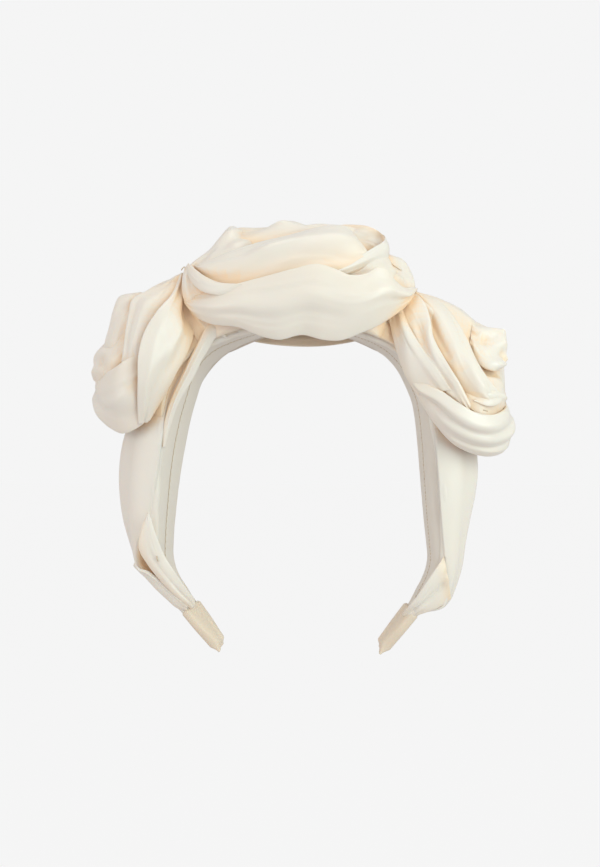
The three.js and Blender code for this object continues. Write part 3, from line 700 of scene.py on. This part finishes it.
fold(
    "centre_middle", "centre_middle_fold",
    [(-46, -14, 26.5), (-38, -16, 30), (-29, -17, 34), (-17, -17, 37.5), (-4, -16, 40.5), (7, -15, 43.5),
     (15, -14, 45), (20, -13, 45), (24, -13, 42.5), (27, -14, 38), (31, -18, 32)],
    [(-45, -17, 25), (-40, -22, 20), (-32, -25, 17), (-22, -28, 16.5), (-9, -30, 19), (3, -31, 21.5),
     (13, -31, 22.5), (21, -30, 23), (27, -27, 25), (31, -22, 28)],
    CENTRE, thick=3.0, crown=4.2,
    creases=[(0.45, 0.25, 0.2, 1.2, 0.3, 1.0), (0.85, 0.8, 0.12, -1.0, 0.0, 1.0),
             (0.3, 0.5, 0.06, -0.5, 0.0, 0.45)],
    shade=(0.0, 0.75, 0.1, 0.35),
)
fold(
    "centre_left_pleat", "centre_left_turn",
    [(-50, -8, 27.5), (-47, -7, 31), (-41, -5, 36), (-36.5, -3, 42), (-32, 0, 47.5), (-29, 8, 47),
     (-25, 16, 42)],
    [(-49, -14, 26.5), (-45, -16, 25), (-38, -18, 27), (-31, -18, 31), (-25.5, -17, 34.5), (-21, -13, 36),
     (-17, -4, 36)],
    CENTRE, thick=2.2, crown=0.9, creases=[(0.6, 0.5, 0.1, 0.4, 0.1, 0.8)], shade=(0, 0.05, 0.2, 0.3),
)
fold(
    "centre_rear", "centre_rear_fold",
    [(-33, 3, 46.5), (-27, 4, 47.5), (-20, 4, 47), (-12, 4, 48), (-8, 4, 50), (-3, 4, 49.5), (3, 4, 47.5),
     (12, 4, 47.5), (22, 4, 47.5), (30, 3, 45)],
    [(-31, -10, 35), (-25, -11, 36), (-17, -11, 37), (-8, -11, 39), (2, -10, 41), (12, -9, 42), (21, -8, 41),
     (30, -6, 37)],
    CENTRE, thick=2.4, crown=1.5,
    creases=[(0.1, 0.8, 0.12, 1.0, 0.2, 0.9), (0.5, 0.2, 0.12, -1.2, 0.4, 1.0)], shade=(0.1, 0.8, 0.6, 0.4),
)
fold(
    "centre_crest", "centre_rear_fold",
    [(-40, 2, 37), (-36, 3, 43), (-28, 4, 47.2), (-20, 4, 47.2), (-12, 4, 48), (-8, 4, 50), (-3, 4, 49.7),
     (3, 4, 47.7), (12, 4, 47.5), (22, 4, 47.3), (30, 3, 45), (36, 1, 40), (38, 0, 33)],
    [(-42, 20, 27), (-36, 23, 32.5), (-26, 25, 36), (-14, 26, 38), (-4, 26, 38.5), (6, 26, 38), (16, 25, 37),
     (26, 24, 34.5), (35, 21, 30), (41, 18, 24)],
    CENTRE, thick=2.4, crown=3.0,
    creases=[(0.3, 0.5, 0.1, 0.9, 0.1, 0.9), (0.6, 0.75, 0.1, -0.8, 0.1, 0.9)], shade=(0.0, 0.3, 0.3, 0.3),
)
fold(
    "centre_loop", "centre_loop_fold",
    [(36, -1, 43.5), (38.5, -6, 41.5), (38.5, -12, 38.5), (34, -19, 34.5), (27, -25, 29.5), (19, -29, 24.5),
     (11, -30, 21)],
    [(37.5, -2, 31), (39.5, -8, 29), (38.5, -14.5, 28), (34, -20, 26.5), (28, -25.5, 23.5), (20, -30, 20.5),
     (12, -31, 18)],
    CENTRE, thick=1.6, crown=1.0, creases=[(0.5, 0.5, 0.18, 0.5, 0.4, 1.0)], shade=(0, 0.1, 0.5, 0.1),
)
fold(
    "centre_loop_inside", "centre_loop_fold",
    [(14, 5, 47.5), (19, 3, 48), (25, 0.5, 47.6), (31, -2, 46.4), (35.5, -4, 44), (38, -8, 41),
     (38.5, -11.5, 38.5)],
    [(17, -8, 40), (21, -9, 39), (26, -10, 37), (31, -10, 34.5), (35, -10.5, 32), (37.5, -12, 30.5),
     (38.5, -14, 29)],
    CENTRE, thick=1.6, crown=-0.8, shade=(0.8, 0.9, 0.7, 0.9),
)
fold(
    "centre_loop_seat", "centre_loop_fold",
    [(13, -26, 26), (21, -25, 28), (29, -22, 31), (35, -16, 33), (39, -10, 34)],
    [(13, -28, 15), (23, -27.5, 16), (32, -25.5, 17), (39, -21, 17.5), (45, -15, 18)],
    CENTRE, thick=2.0, crown=1.0, shade=(0.2, 0.2, 0.2, 0.2),
)
fold(
    "centre_right_pleat", "centre_right_turn",
    [(28, 14, 38), (36, 8, 36), (42, 5, 34), (47, 3, 31), (50, 1, 26.5), (52, -4, 19.5), (52, -10, 16)],
    [(33, -10, 26), (37, -13, 25), (40.5, -16, 22), (43, -17, 18), (46, -16, 14), (49, -14, 12.5),
     (51, -12, 13)],
    CENTRE, thick=2.6, crown=1.0,
    creases=[(0.55, 0.6, 0.16, -1.1, 0.2, 1.0)], shade=(0.15, 0.8, 0.5, 0.2),
)
fold(
    "centre_back_upper", "centre_back_fold",
    [(-49, 2, 27), (-41, 12, 33), (-29, 20, 37), (-12, 25, 39), (6, 25, 39), (22, 23, 37.5), (36, 15, 34),
     (48, 4, 28)],
    [(-50, 12, 13), (-40, 22, 13), (-26, 27, 14), (-8, 30, 15), (10, 30, 15), (26, 27, 14), (40, 21, 12),
     (50, 11, 12)],
    CENTRE, thick=3.0, crown=3.0,
    creases=[(0.35, 0.55, 0.1, 0.9, 0.1, 0.9), (0.7, 0.35, 0.08, -0.7, 0.2, 0.9)], shade=(0.2, 0.1, 0.2, 0.2),
)
fold(
    "centre_back_lower", "centre_back_fold",
    [(-50, 10, 15), (-40, 20, 15), (-26, 26, 17), (-8, 29, 18), (10, 29, 17.5), (26, 26, 17), (40, 19, 15),
     (50, 9, 14)],
    [(-49, 13, 5), (-40, 21, 1), (-26, 26, -3), (-8, 27, -5.5), (10, 27, -5.5), (26, 26, -3), (40, 21, 1),
     (49, 13, 5)],
    CENTRE, thick=3.0, crown=2.6,
    creases=[(0.4, 0.6, 0.12, 0.8, 0.1, 0.9)], shade=(0.6, 0.1, 0.2, 0.2),
)
fold(
    "centre_pinch_strip", "centre_left_turn",
    [(-50, -15, 27), (-47.5, -20, 22), (-44.5, -24, 18), (-40.5, -27.5, 15), (-34, -30, 13), (-24, -30, 12)],
    [(-48.5, -15, 29), (-44.5, -20.8, 25.6), (-39, -25.8, 21.6), (-33, -29.2, 18.8), (-25, -32, 17.8),
     (-16, -32, 18)],
    CENTRE, thick=1.6, crown=0.5, shade=(0.1, 0.1, 0.2, 0.2),
)
fold(
    "centre_pinch_seat", "centre_left_turn",
    [(-50, -11, 28), (-44, -14, 27), (-36, -17, 26), (-26, -20, 24), (-15, -23, 22)],
    [(-49, -14, 19), (-44, -19.5, 15), (-36, -23.5, 12.5), (-26, -26.5, 12), (-15, -28, 12)],
    CENTRE, thick=2.0, crown=1.0, shade=(0.2, 0.2, 0.2, 0.2),
)
fold(
    "centre_pinch_edge", "centre_left_turn",
    [(-50.5, -14, 27.5), (-51, -18, 21), (-50.5, -19, 14), (-48.5, -20.5, 9)],
    [(-47.5, -15, 27), (-44, -20, 21), (-40, -24, 16), (-36, -26, 12)],
    CENTRE, thick=1.8, crown=0.5, creases=[(0.5, 0.5, 0.15, -0.8, 0.2, 1.0)], shade=(0.1, 0.8, 0.3, 0.3),
)

# Over the top of each knot one broad turn of the sash joins the folds in front to those behind.
fold(
    "centre_cover", "centre_rear_fold",
    [(-48, -9, 24), (-36, -9, 33), (-18, -9, 38), (0, -9, 40), (16, -9, 40), (30, -8, 36), (46, -6, 26)],
    [(-48, 15, 21), (-36, 22, 29), (-18, 26, 33), (0, 27, 34), (16, 26, 33), (33, 22, 28), (48, 13, 20)],
    CENTRE, thick=2.4, crown=3.0, creases=[(0.5, 0.6, 0.08, 0.7, 0.1, 0.9)], shade=(0.2, 0.2, 0.3, 0.3),
)
fold(
    "left_cover", "left_back_fold",
    [(-49, -9, 22), (-59, -9, 18.5), (-70, -9, 12.5), (-79, -9, 4), (-85, -9, -7), (-88, -7, -20)],
    [(-48, 12, 18), (-57, 15, 13), (-67, 16, 6), (-76, 16, -4), (-83, 14, -14), (-87, 12, -26)],
    LEFT, thick=2.4, crown=3.0, creases=[(0.5, 0.4, 0.08, 0.7, 0.1, 0.9)], shade=(0.2, 0.2, 0.3, 0.3),
)
fold(
    "right_cover", "right_back_fold",
    [(49, -9, 15), (60, -10, 10), (71, -11, 3), (80, -10, -7), (86, -9, -18), (89, -7, -30)],
    [(48, 12, 14), (58, 15, 9.5), (69, 16, 3), (78, 16, -7), (85, 14, -18), (88, 11, -34)],
    RIGHT, thick=2.4, crown=3.0, creases=[(0.5, 0.6, 0.08, 0.7, 0.1, 0.9)], shade=(0.2, 0.2, 0.3, 0.3),
)

# Under the pleats in front of each side knot lies another, bowed over the gathers.
fold(
    "left_base", "left_back_fold",
    [(-52, -5, 25), (-62, -5, 22), (-73, -7, 15), (-82, -8, 3), (-88, -8, -9), (-91, -6, -22), (-91, -4, -32)],
    [(-47, -12, 12), (-45, -15, 0), (-48, -17, -11), (-55, -18, -22), (-62, -18, -32), (-70, -15, -38),
     (-80, -11, -40)],
    LEFT, thick=3.0, crown=8.0, creases=[(0.3, 0.4, 0.06, 0.8, 0.1, 0.9)], shade=(0.3, 0.3, 0.3, 0.3),
)
fold(
    "right_base", "right_back_fold",
    [(50, 0, 17), (60, -3, 14.5), (72, -6, 8), (82, -8, -2), (88, -9, -14), (90, -8, -28), (90, -6, -42)],
    [(43, -11, 7), (46, -17, -6), (49, -19, -18), (55, -20, -29), (62, -19, -40), (70, -17, -47),
     (80, -12, -52)],
    RIGHT, thick=3.0, crown=7.0, creases=[(0.4, 0.5, 0.06, 0.8, 0.1, 0.9)], shade=(0.3, 0.3, 0.3, 0.3),
)

# The left knot: pleats that fan down and outwards from the pinch beside the centre knot.
fold(
    "left_main", "left_main_fold",
    [(-53, -11, 25), (-55.5, -19, 15), (-61, -26, 6.5), (-66, -29, -3), (-68, -31, -13), (-68.5, -30, -24),
     (-69.5, -26, -34), (-70, -21, -43)],
    [(-51, -11, 24), (-50.5, -14, 13), (-49, -17, 4.5), (-46, -17.5, -2), (-48, -19.5, -10), (-53, -20.5, -20),
     (-58.5, -19.5, -30), (-65, -17, -40)],
    LEFT, thick=2.6, crown=1.8,
    creases=[(0.25, 0.2, 0.10, 0.7, 0.3, 1.0), (0.9, 0.75, 0.14, -1.2, 0.0, 0.45)],
    shade=(0, 0.45, 0.15, 0.1),
)
fold(
    "left_hollow", "left_main_fold",
    [(-52, -12, 22), (-51.5, -15, 14), (-49.5, -17, 5), (-46, -17, -3), (-42.5, -17, -8.5)],
    [(-49, -13, 22), (-47, -17, 13), (-41, -20, 6), (-35.5, -20, 2), (-32, -18, -3)],
    LEFT, thick=2.0, crown=-1.6, creases=[(0.3, 0.6, 0.1, 0.5, 0.3, 1.0)], shade=(1.0, 0.7, 0.6, 0.3),
)
fold(
    "left_edge_strip", "left_main_fold",
    [(-32, -19, -1), (-37.5, -19, 2), (-44, -18.5, -7), (-50, -18, -18.5), (-56, -17.5, -31),
     (-59.5, -16.5, -43), (-60.5, -15.5, -53)],
    [(-31, -17, -5), (-34, -18, -4), (-40, -17.5, -11), (-46.5, -17, -23), (-53, -16.5, -34),
     (-57, -15.5, -45), (-59.5, -15, -53.5)],
    LEFT, thick=1.8, crown=0.6, creases=[(0.5, 0.5, 0.12, 0.4, 0.1, 0.9)], shade=(0.3, 0, 0.1, 0.1),
)
fold(
    "left_second", "left_second_fold",
    [(-60, -9, 20), (-68, -12, 17), (-74.5, -15, 12.5), (-75, -18, 7), (-75.5, -22, -0.5), (-76, -24, -8),
     (-77, -24, -16), (-77, -21, -24)],
    [(-52, -11, 23), (-54, -16, 15), (-58, -20, 7.5), (-62, -24, -1), (-64, -26, -8), (-65, -26, -15),
     (-66, -25, -22), (-67, -22, -29)],
    LEFT, thick=2.4, crown=1.6,
    creases=[(0.5, 0.4, 0.16, 0.7, 0.2, 0.9), (0.2, 0.15, 0.08, -0.4, 0.2, 0.9)], shade=(0, 0.35, 0.45, 0.2),
)
fold(
    "left_outer", "left_outer_fold",
    [(-77, 0, 16.5), (-82, -7, 15), (-84, -10, 8.5), (-85.5, -12, 0.5), (-87, -14, -7), (-87.5, -13, -14)],
    [(-69, -7, 16.5), (-71, -12, 13), (-71.5, -15, 7.5), (-72, -19, 0), (-73, -21, -7), (-74, -21, -14)],
    LEFT, thick=2.6, crown=0.8, creases=[(0.5, 0.5, 0.18, 0.5, 0.1, 0.9)], shade=(0, 0.35, 0.3, 0.2),
)
fold(
    "left_under", "left_bottom_fold",
    [(-73, -19, 0), (-80, -15, -2), (-87, -9, -5), (-92, -7, -11), (-93, -5, -18)],
    [(-75.5, -23, -14), (-79, -22, -17), (-84, -20, -21), (-89, -15, -23), (-92, -9, -25)],
    LEFT, thick=2.6, crown=1.6, creases=[(0.5, 0.4, 0.12, 0.5, 0.1, 0.9)], shade=(0.2, 0.3, 0.3, 0.1),
)
fold(
    "left_bottom", "left_bottom_fold",
    [(-65, -26.5, -11), (-73, -28, -14), (-80, -25, -18), (-86, -18, -20.5), (-91.5, -9, -23.5), (-93, -1, -24),
     (-88, 8, -25)],
    [(-62, -18.5, -36), (-70, -19.5, -44), (-78, -16.5, -47), (-84, -12, -45), (-89, -7, -41.5), (-91, 0, -38),
     (-86, 9, -35)],
    LEFT, thick=2.6, crown=2.2,
    creases=[(0.6, 0.5, 0.2, 0.8, 0.05, 0.6), (0.3, 0.5, 0.12, -0.5, 0.2, 0.8)], shade=(0.1, 0.1, 0.25, 0.3),
)
fold(
    "left_roll", "left_top_fold",
    [(-51.5, -4, 26.5), (-58, -2, 24), (-63, 0, 20.5), (-68.5, 3, 16), (-75, 4, 13.5), (-80, 3, 12)],
    [(-53, -12, 22), (-57, -15, 16), (-61.5, -16, 11.5), (-66, -16, 9), (-71, -14, 8.5), (-75, -12, 8)],
    LEFT, thick=2.4, crown=1.6,
    creases=[(0.6, 0.55, 0.12, -1.4, 0.1, 0.7), (0.25, 0.3, 0.12, 0.6, 0.1, 0.9)], shade=(0, 0.8, 0.3, 0.3),
)
fold(
    "left_back", "left_back_fold",
    [(-51, 2, 24.5), (-59, 6, 20), (-69, 10, 14.5), (-79, 11, 7), (-86, 10, -3), (-89, 9, -14), (-90, 8, -26)],
    [(-49, 10, 12), (-55, 16, 5), (-61, 19, -4), (-67, 20, -14), (-72, 19, -24), (-77, 17, -32),
     (-82, 13, -38)],
    LEFT, thick=3.0, crown=3.6,
    creases=[(0.3, 0.35, 0.1, 0.9, 0.1, 0.95), (0.65, 0.6, 0.1, -0.9, 0.1, 0.95)], shade=(0.1, 0.2, 0.3, 0.1),
)
fold(
    "left_back_inner", "left_back_fold",
    [(-48, 10, 15), (-54, 17, 7), (-60, 20, -3), (-66, 21, -13), (-71, 19, -23), (-76, 15, -32)],
    [(-45, 15, 5), (-50, 18, -3), (-55, 20, -13), (-59, 20, -23), (-63, 18, -32), (-68, 13, -38)],
    LEFT, thick=2.8, crown=1.8, creases=[(0.5, 0.5, 0.15, 0.6, 0.1, 0.9)], shade=(0.6, 0.2, 0.3, 0.1),
)

# The right knot: rolls that swing down from the centre knot and curl in on themselves at the outside.
fold(
    "right_back", "right_back_fold",
    [(50, 6, 18), (56, 5, 15.5), (64, 4, 13.5), (73, 3, 9), (80, 1, 3), (86, -2, 0), (91, -4, -1)],
    [(51, -7, 10), (58, -11, 2), (64, -15, -5), (70, -17, -13), (76, -18, -20), (82, -17, -25), (88, -12, -26)],
    RIGHT, thick=2.8, crown=1.6,
    creases=[(0.75, 0.5, 0.12, 0.7, 0.3, 0.9), (0.4, 0.25, 0.1, -0.6, 0.3, 0.9)], shade=(0, 0.35, 0.4, 0.1),
)
fold(
    "right_third", "right_third_fold",
    [(50, -8, 15), (53.5, -13, 9), (57, -18, 0), (61, -23, -10), (67, -26, -21), (74, -27, -30),
     (81, -25, -35)],
    [(54, -3, 15.5), (62, -7, 12.5), (68, -12, 6), (74.5, -19, -5.5), (79.5, -23.5, -17), (84, -24, -24),
     (88, -22, -29)],
    RIGHT, thick=2.6, crown=2.0,
    creases=[(0.7, 0.6, 0.2, 0.9, 0.2, 1.0), (0.15, 0.25, 0.1, -1.0, 0.0, 0.7)], shade=(0.75, 0, 0.5, 0.05),
)
fold(
    "right_second", "right_second_fold",
    [(43, -11, 9), (47, -18, 3), (51, -22, -6), (56, -26, -15), (62, -28, -25), (69, -28, -34), (74, -27, -40)],
    [(49, -9, 17), (55, -14, 12.5), (58.5, -20, 4), (60, -25, -5), (66, -29.5, -17), (71.5, -30.5, -26),
     (76, -29, -35)],
    RIGHT, thick=2.4, crown=0.8,
    creases=[(0.45, 0.4, 0.16, -1.0, 0.2, 0.9)], shade=(0.3, 0, 0.25, 0.4),
)
fold(
    "right_inner", "right_inner_fold",
    [(40.5, -16, 3.5), (42.5, -18.5, -5), (45, -20.5, -14), (48, -22, -22), (53, -23, -30)],
    [(46, -14, 9.5), (50.5, -22.5, -2), (56.5, -26.8, -12), (62.2, -29, -20), (67.5, -30, -28.5)],
    RIGHT, thick=2.4, crown=1.0, creases=[(0.75, 0.8, 0.12, 0.5, 0.0, 1.0)], shade=(0.25, 0, 0.4, 0.15),
)
fold(
    "right_bottom", "right_bottom_fold",
    [(49.5, -22, -20), (56, -26, -25), (63, -29, -28.5), (71.5, -31, -34.5), (78, -30, -38), (84, -27, -39),
     (90, -19, -37), (92, -8, -34), (89, 4, -32)],
    [(52, -18, -27), (57, -19, -36), (62, -21, -44), (68, -22, -51), (75, -20, -55), (83, -16, -57),
     (91, -8, -55), (93, 0, -50), (89, 8, -45)],
    RIGHT, thick=3.2, crown=2.6,
    creases=[(0.2, 0.15, 0.1, 0.9, 0.0, 0.7), (0.42, 0.38, 0.07, -0.9, 0.1, 0.85),
             (0.6, 0.5, 0.10, 0.8, 0.2, 0.9), (0.78, 0.7, 0.07, -0.7, 0.3, 1.0)],
    shade=(0, 0.1, 0.3, 0.2),
)
fold(
    "right_side", "right_back_fold",
    [(84, -5, -2), (90, -4, -8), (91.5, -3, -18), (92, -3, -28), (92, -3, -40)],
    [(74, -19, -8), (78, -21, -16), (80, -22, -24), (82, -22, -33), (84, -19, -42)],
    RIGHT, thick=2.4, crown=0.8, creases=[(0.5, 0.5, 0.16, 0.5, 0.1, 0.9)], shade=(0.1, 0.7, 0.2, 0.3),
)
fold(
    "right_pocket", "right_curl_fold",
    [(72, -23, -14), (77, -23, -20), (82, -22.5, -22), (88, -18, -23), (91, -11.5, -27)],
    [(73, -27.5, -34), (78, -27, -38), (84, -24, -40), (89, -17.5, -39), (92, -9.5, -37)],
    RIGHT, thick=2.4, crown=1.0, creases=[(0.4, 0.5, 0.10, 0.9, 0.1, 0.9)], shade=(0.3, 0.3, 0.3, 0.3),
)
fold(
    "right_tip", "right_tip_fold",
    [(77, -10, 1), (83, -10, 0), (88, -9, -0.5), (91.5, -8, -1), (91.5, -8, -8), (91, -9, -14)],
    [(75.5, -19, -9), (78, -21, -15), (81, -22, -18.5), (85, -21, -20), (88.5, -17, -19.5), (91, -12, -17.5)],
    RIGHT, thick=2.0, crown=1.4,
    creases=[(0.35, 0.5, 0.17, -1.9, 0.15, 1.0), (0.88, 0.8, 0.12, 1.1, 0.0, 1.0)], shade=(0.1, 0, 0.1, 0.6),
)
fold(
    "right_curl", "right_curl_fold",
    [(77, -28, -33), (83.5, -26, -35.5), (88.5, -22, -34), (90.5, -17, -28.5), (89.5, -13, -22.5),
     (84, -14, -19)],
    [(80, -25, -30.5), (84, -23.5, -31), (86, -21, -29.5), (86, -18, -27), (84, -16, -24), (81, -17, -22)],
    RIGHT, thick=2.2, crown=0.6, shade=(0, 0.5, 0.3, 0.3),
)
fold(
    "right_back_outer", "right_back_fold",
    [(52, 4, 17), (62, 7, 13.5), (72, 8, 9), (81, 7, 2), (88, 5, -8), (91, 4, -20), (92, 2, -32)],
    [(50, 14, 8), (57, 19, 1), (64, 22, -9), (70, 23, -20), (76, 21, -31), (82, 18, -40), (87, 12, -46)],
    RIGHT, thick=3.0, crown=3.4,
    creases=[(0.35, 0.3, 0.1, 0.9, 0.1, 0.95), (0.65, 0.7, 0.1, -0.9, 0.1, 0.95)], shade=(0.1, 0.2, 0.3, 0.1),
)
fold(
    "right_back_inner", "right_back_fold",
    [(48, 10, 12), (54, 18, 4), (60, 21, -6), (66, 22, -17), (72, 20, -29), (79, 15, -40)],
    [(45, 15, 3), (50, 18, -5), (55, 20, -15), (60, 20, -26), (65, 18, -36), (72, 12, -45)],
    RIGHT, thick=2.8, crown=1.8, creases=[(0.5, 0.5, 0.15, 0.6, 0.1, 0.9)], shade=(0.6, 0.2, 0.3, 0.1),
)

# Low on each leg the end of the tail is folded up and laid flat before it goes into the cap: on the left a pale
# pleat over a turned hem, on the right one flat panel.
LEG_LEFT = (-45, 10, -95)
LEG_RIGHT = (45, 10, -95)
fold(
    "left_strip", "",
    [(-67, -17, -82), (-70, -17, -91), (-71, -16.5, -97.5), (-66.5, -15.5, -106.5), (-61, -14, -113.5),
     (-55, -12, -120), (-51, -9.8, -124), (-49, -6.8, -126.5)],
    [(-66, -17, -82), (-62.5, -17, -93.5), (-59, -16, -102), (-54.5, -14.5, -109.5), (-50, -12, -117),
     (-47.8, -9.8, -120.4), (-46.8, -6.8, -123.8)],
    LEG_LEFT, thick=1.4, crown=0.8, creases=[(0.4, 0.5, 0.10, -0.5, 0.3, 1.0)], shade=(0.45, 0, 0, 0.2),
    body="leg_left",
)
fold(
    "left_hem", "",
    [(-73.5, -13, -105), (-71, -14, -107.5), (-67.5, -14, -108.5), (-62, -13, -113), (-55.5, -11.5, -118.5),
     (-50, -9.5, -124)],
    [(-74.5, -10, -107), (-70, -11, -111), (-64.5, -10.5, -117), (-59.5, -9, -122), (-55, -8, -126),
     (-50.5, -7, -127.5)],
    LEG_LEFT, thick=1.4, crown=0.5, creases=[(0.15, 0.15, 0.10, 0.5, 0.0, 1.0)], shade=(0, 0.2, 0, 0.3),
    body="leg_left",
)
fold(
    "right_hem", "",
    [(65, -12, -101), (59.5, -12.8, -109), (52.5, -11, -119.5), (49, -9, -124), (46.4, -6, -127.8)],
    [(68, -7.5, -120.5), (62, -8.5, -124.5), (54.5, -8, -127.5), (52, -7, -128.6), (48.8, -5, -130.2)],
    LEG_RIGHT, thick=1.4, crown=0.6, creases=[(0.55, 0.5, 0.10, -1.1, 0.0, 0.9)], shade=(0, 0.3, 0.7, 0.4),
    body="leg_right",
)


# Painted shade and glow: where folds crowd together the satin's colour is painted a warm peach in place of
# ivory, for the shade between the folds and the warm light that shines through and bounces between the thin
# layers.
CROWD_CELL = 0.0015
CROWD_REACH = 4
CROWD_ABOVE = 0.004
CROWD_MARGIN = 0.02
GLOW_FROM, GLOW_FULL = 0.20, 0.42
TINT_KEPT = 0.75


def crowding(points, normals):
    """How much cloth lies around each point: the share of small cubes with cloth in them, averaged along x, y
    and z in turn over the reach to both sides, twice, and read a little above the surface."""
    low = points.min(axis=0) - CROWD_MARGIN
    cells = np.ceil((points.max(axis=0) + CROWD_MARGIN - low) / CROWD_CELL).astype(int)
    filled = np.zeros(cells)
    filled[tuple(((points - low) / CROWD_CELL).astype(int).T)] = 1
    for axis in (0, 1, 2, 0, 1, 2):
        total = np.cumsum(filled, axis=axis)
        ahead = np.roll(total, -CROWD_REACH, axis=axis)
        filled = (ahead - np.roll(total, CROWD_REACH + 1, axis=axis)) / (2 * CROWD_REACH + 1)
    above = points + normals * CROWD_ABOVE
    return filled[tuple(((above - low) / CROWD_CELL).astype(int).T)]


sash = [piece for piece in bpy.data.objects if piece.type == "MESH" and satin in list(piece.data.materials)]
counts = [len(piece.data.vertices) for piece in sash]
places, facings = np.zeros(sum(counts) * 3), np.zeros(sum(counts) * 3)
ends = np.cumsum(counts)
for piece, end, count in zip(sash, ends, counts):
    part = slice((end - count) * 3, end * 3)
    piece.data.vertices.foreach_get("co", places[part])
    piece.data.vertex_normals.foreach_get("vector", facings[part])
crowd = crowding(places.reshape(-1, 3), facings.reshape(-1, 3))
# The share of painted shade and glow grows with how crowded the cloth is around each point.
glow = eased(crowd, GLOW_FROM, GLOW_FULL)
for piece, end, count in zip(sash, ends, counts):
    hollow = piece.data.attributes["hollow"].data
    tint = np.zeros(count, np.float32)
    hollow.foreach_get("value", tint)
    # It is added to the fold's own painted shade, of which TINT_KEPT is kept.
    hollow.foreach_set("value", np.clip(TINT_KEPT * tint + glow[end - count:end], 0, 1).astype(np.float32))


# ---- Thread tacks ----
# A short stitch through the cloth wherever a fold is held down: on the left leg's pleat, in the right knot and
# at the gather beside the centre knot.


def tack_rings(start, end, radius):
    """A short thread between two points that bows out of the cloth by half a sine, with a round section."""
    t = np.linspace(0, 1, 24)[:, None]
    line = np.array(start) * MM * (1 - t) + np.array(end) * MM * t
    line[:, 1] -= 0.0005 * np.sin(np.pi * t[:, 0])
    direction = (np.array(end) - np.array(start)) / np.linalg.norm(np.array(end) - np.array(start))
    side = np.cross(direction, (0, 1, 0))
    side /= np.linalg.norm(side)
    up = np.cross(side, direction)
    angle = np.linspace(0, 2 * np.pi, 12, endpoint=False)[None, :, None]
    return line[:, None] + radius * (np.cos(angle) * side + np.sin(angle) * up)


TACK_RADIUS = 0.00025
TACKS = {
    "tack_leg_left": ("leg_left", (-62.6, -17.3, -101.5), (-62, -17.3, -104)),
    "tack_right_knot": ("crown", (81, -31, -37), (83, -30.5, -37.5)),
    "tack_left_gather": ("crown", (-52, -14.5, 26), (-50.5, -15, 27.5)),
}
for node, (body, start, end) in TACKS.items():
    tack = skin(f"thread_{node[5:]}", tack_rings(start, end, TACK_RADIUS))
    tack.data.materials.append(stitch_thread)
    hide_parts(node)
    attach(tack, body)
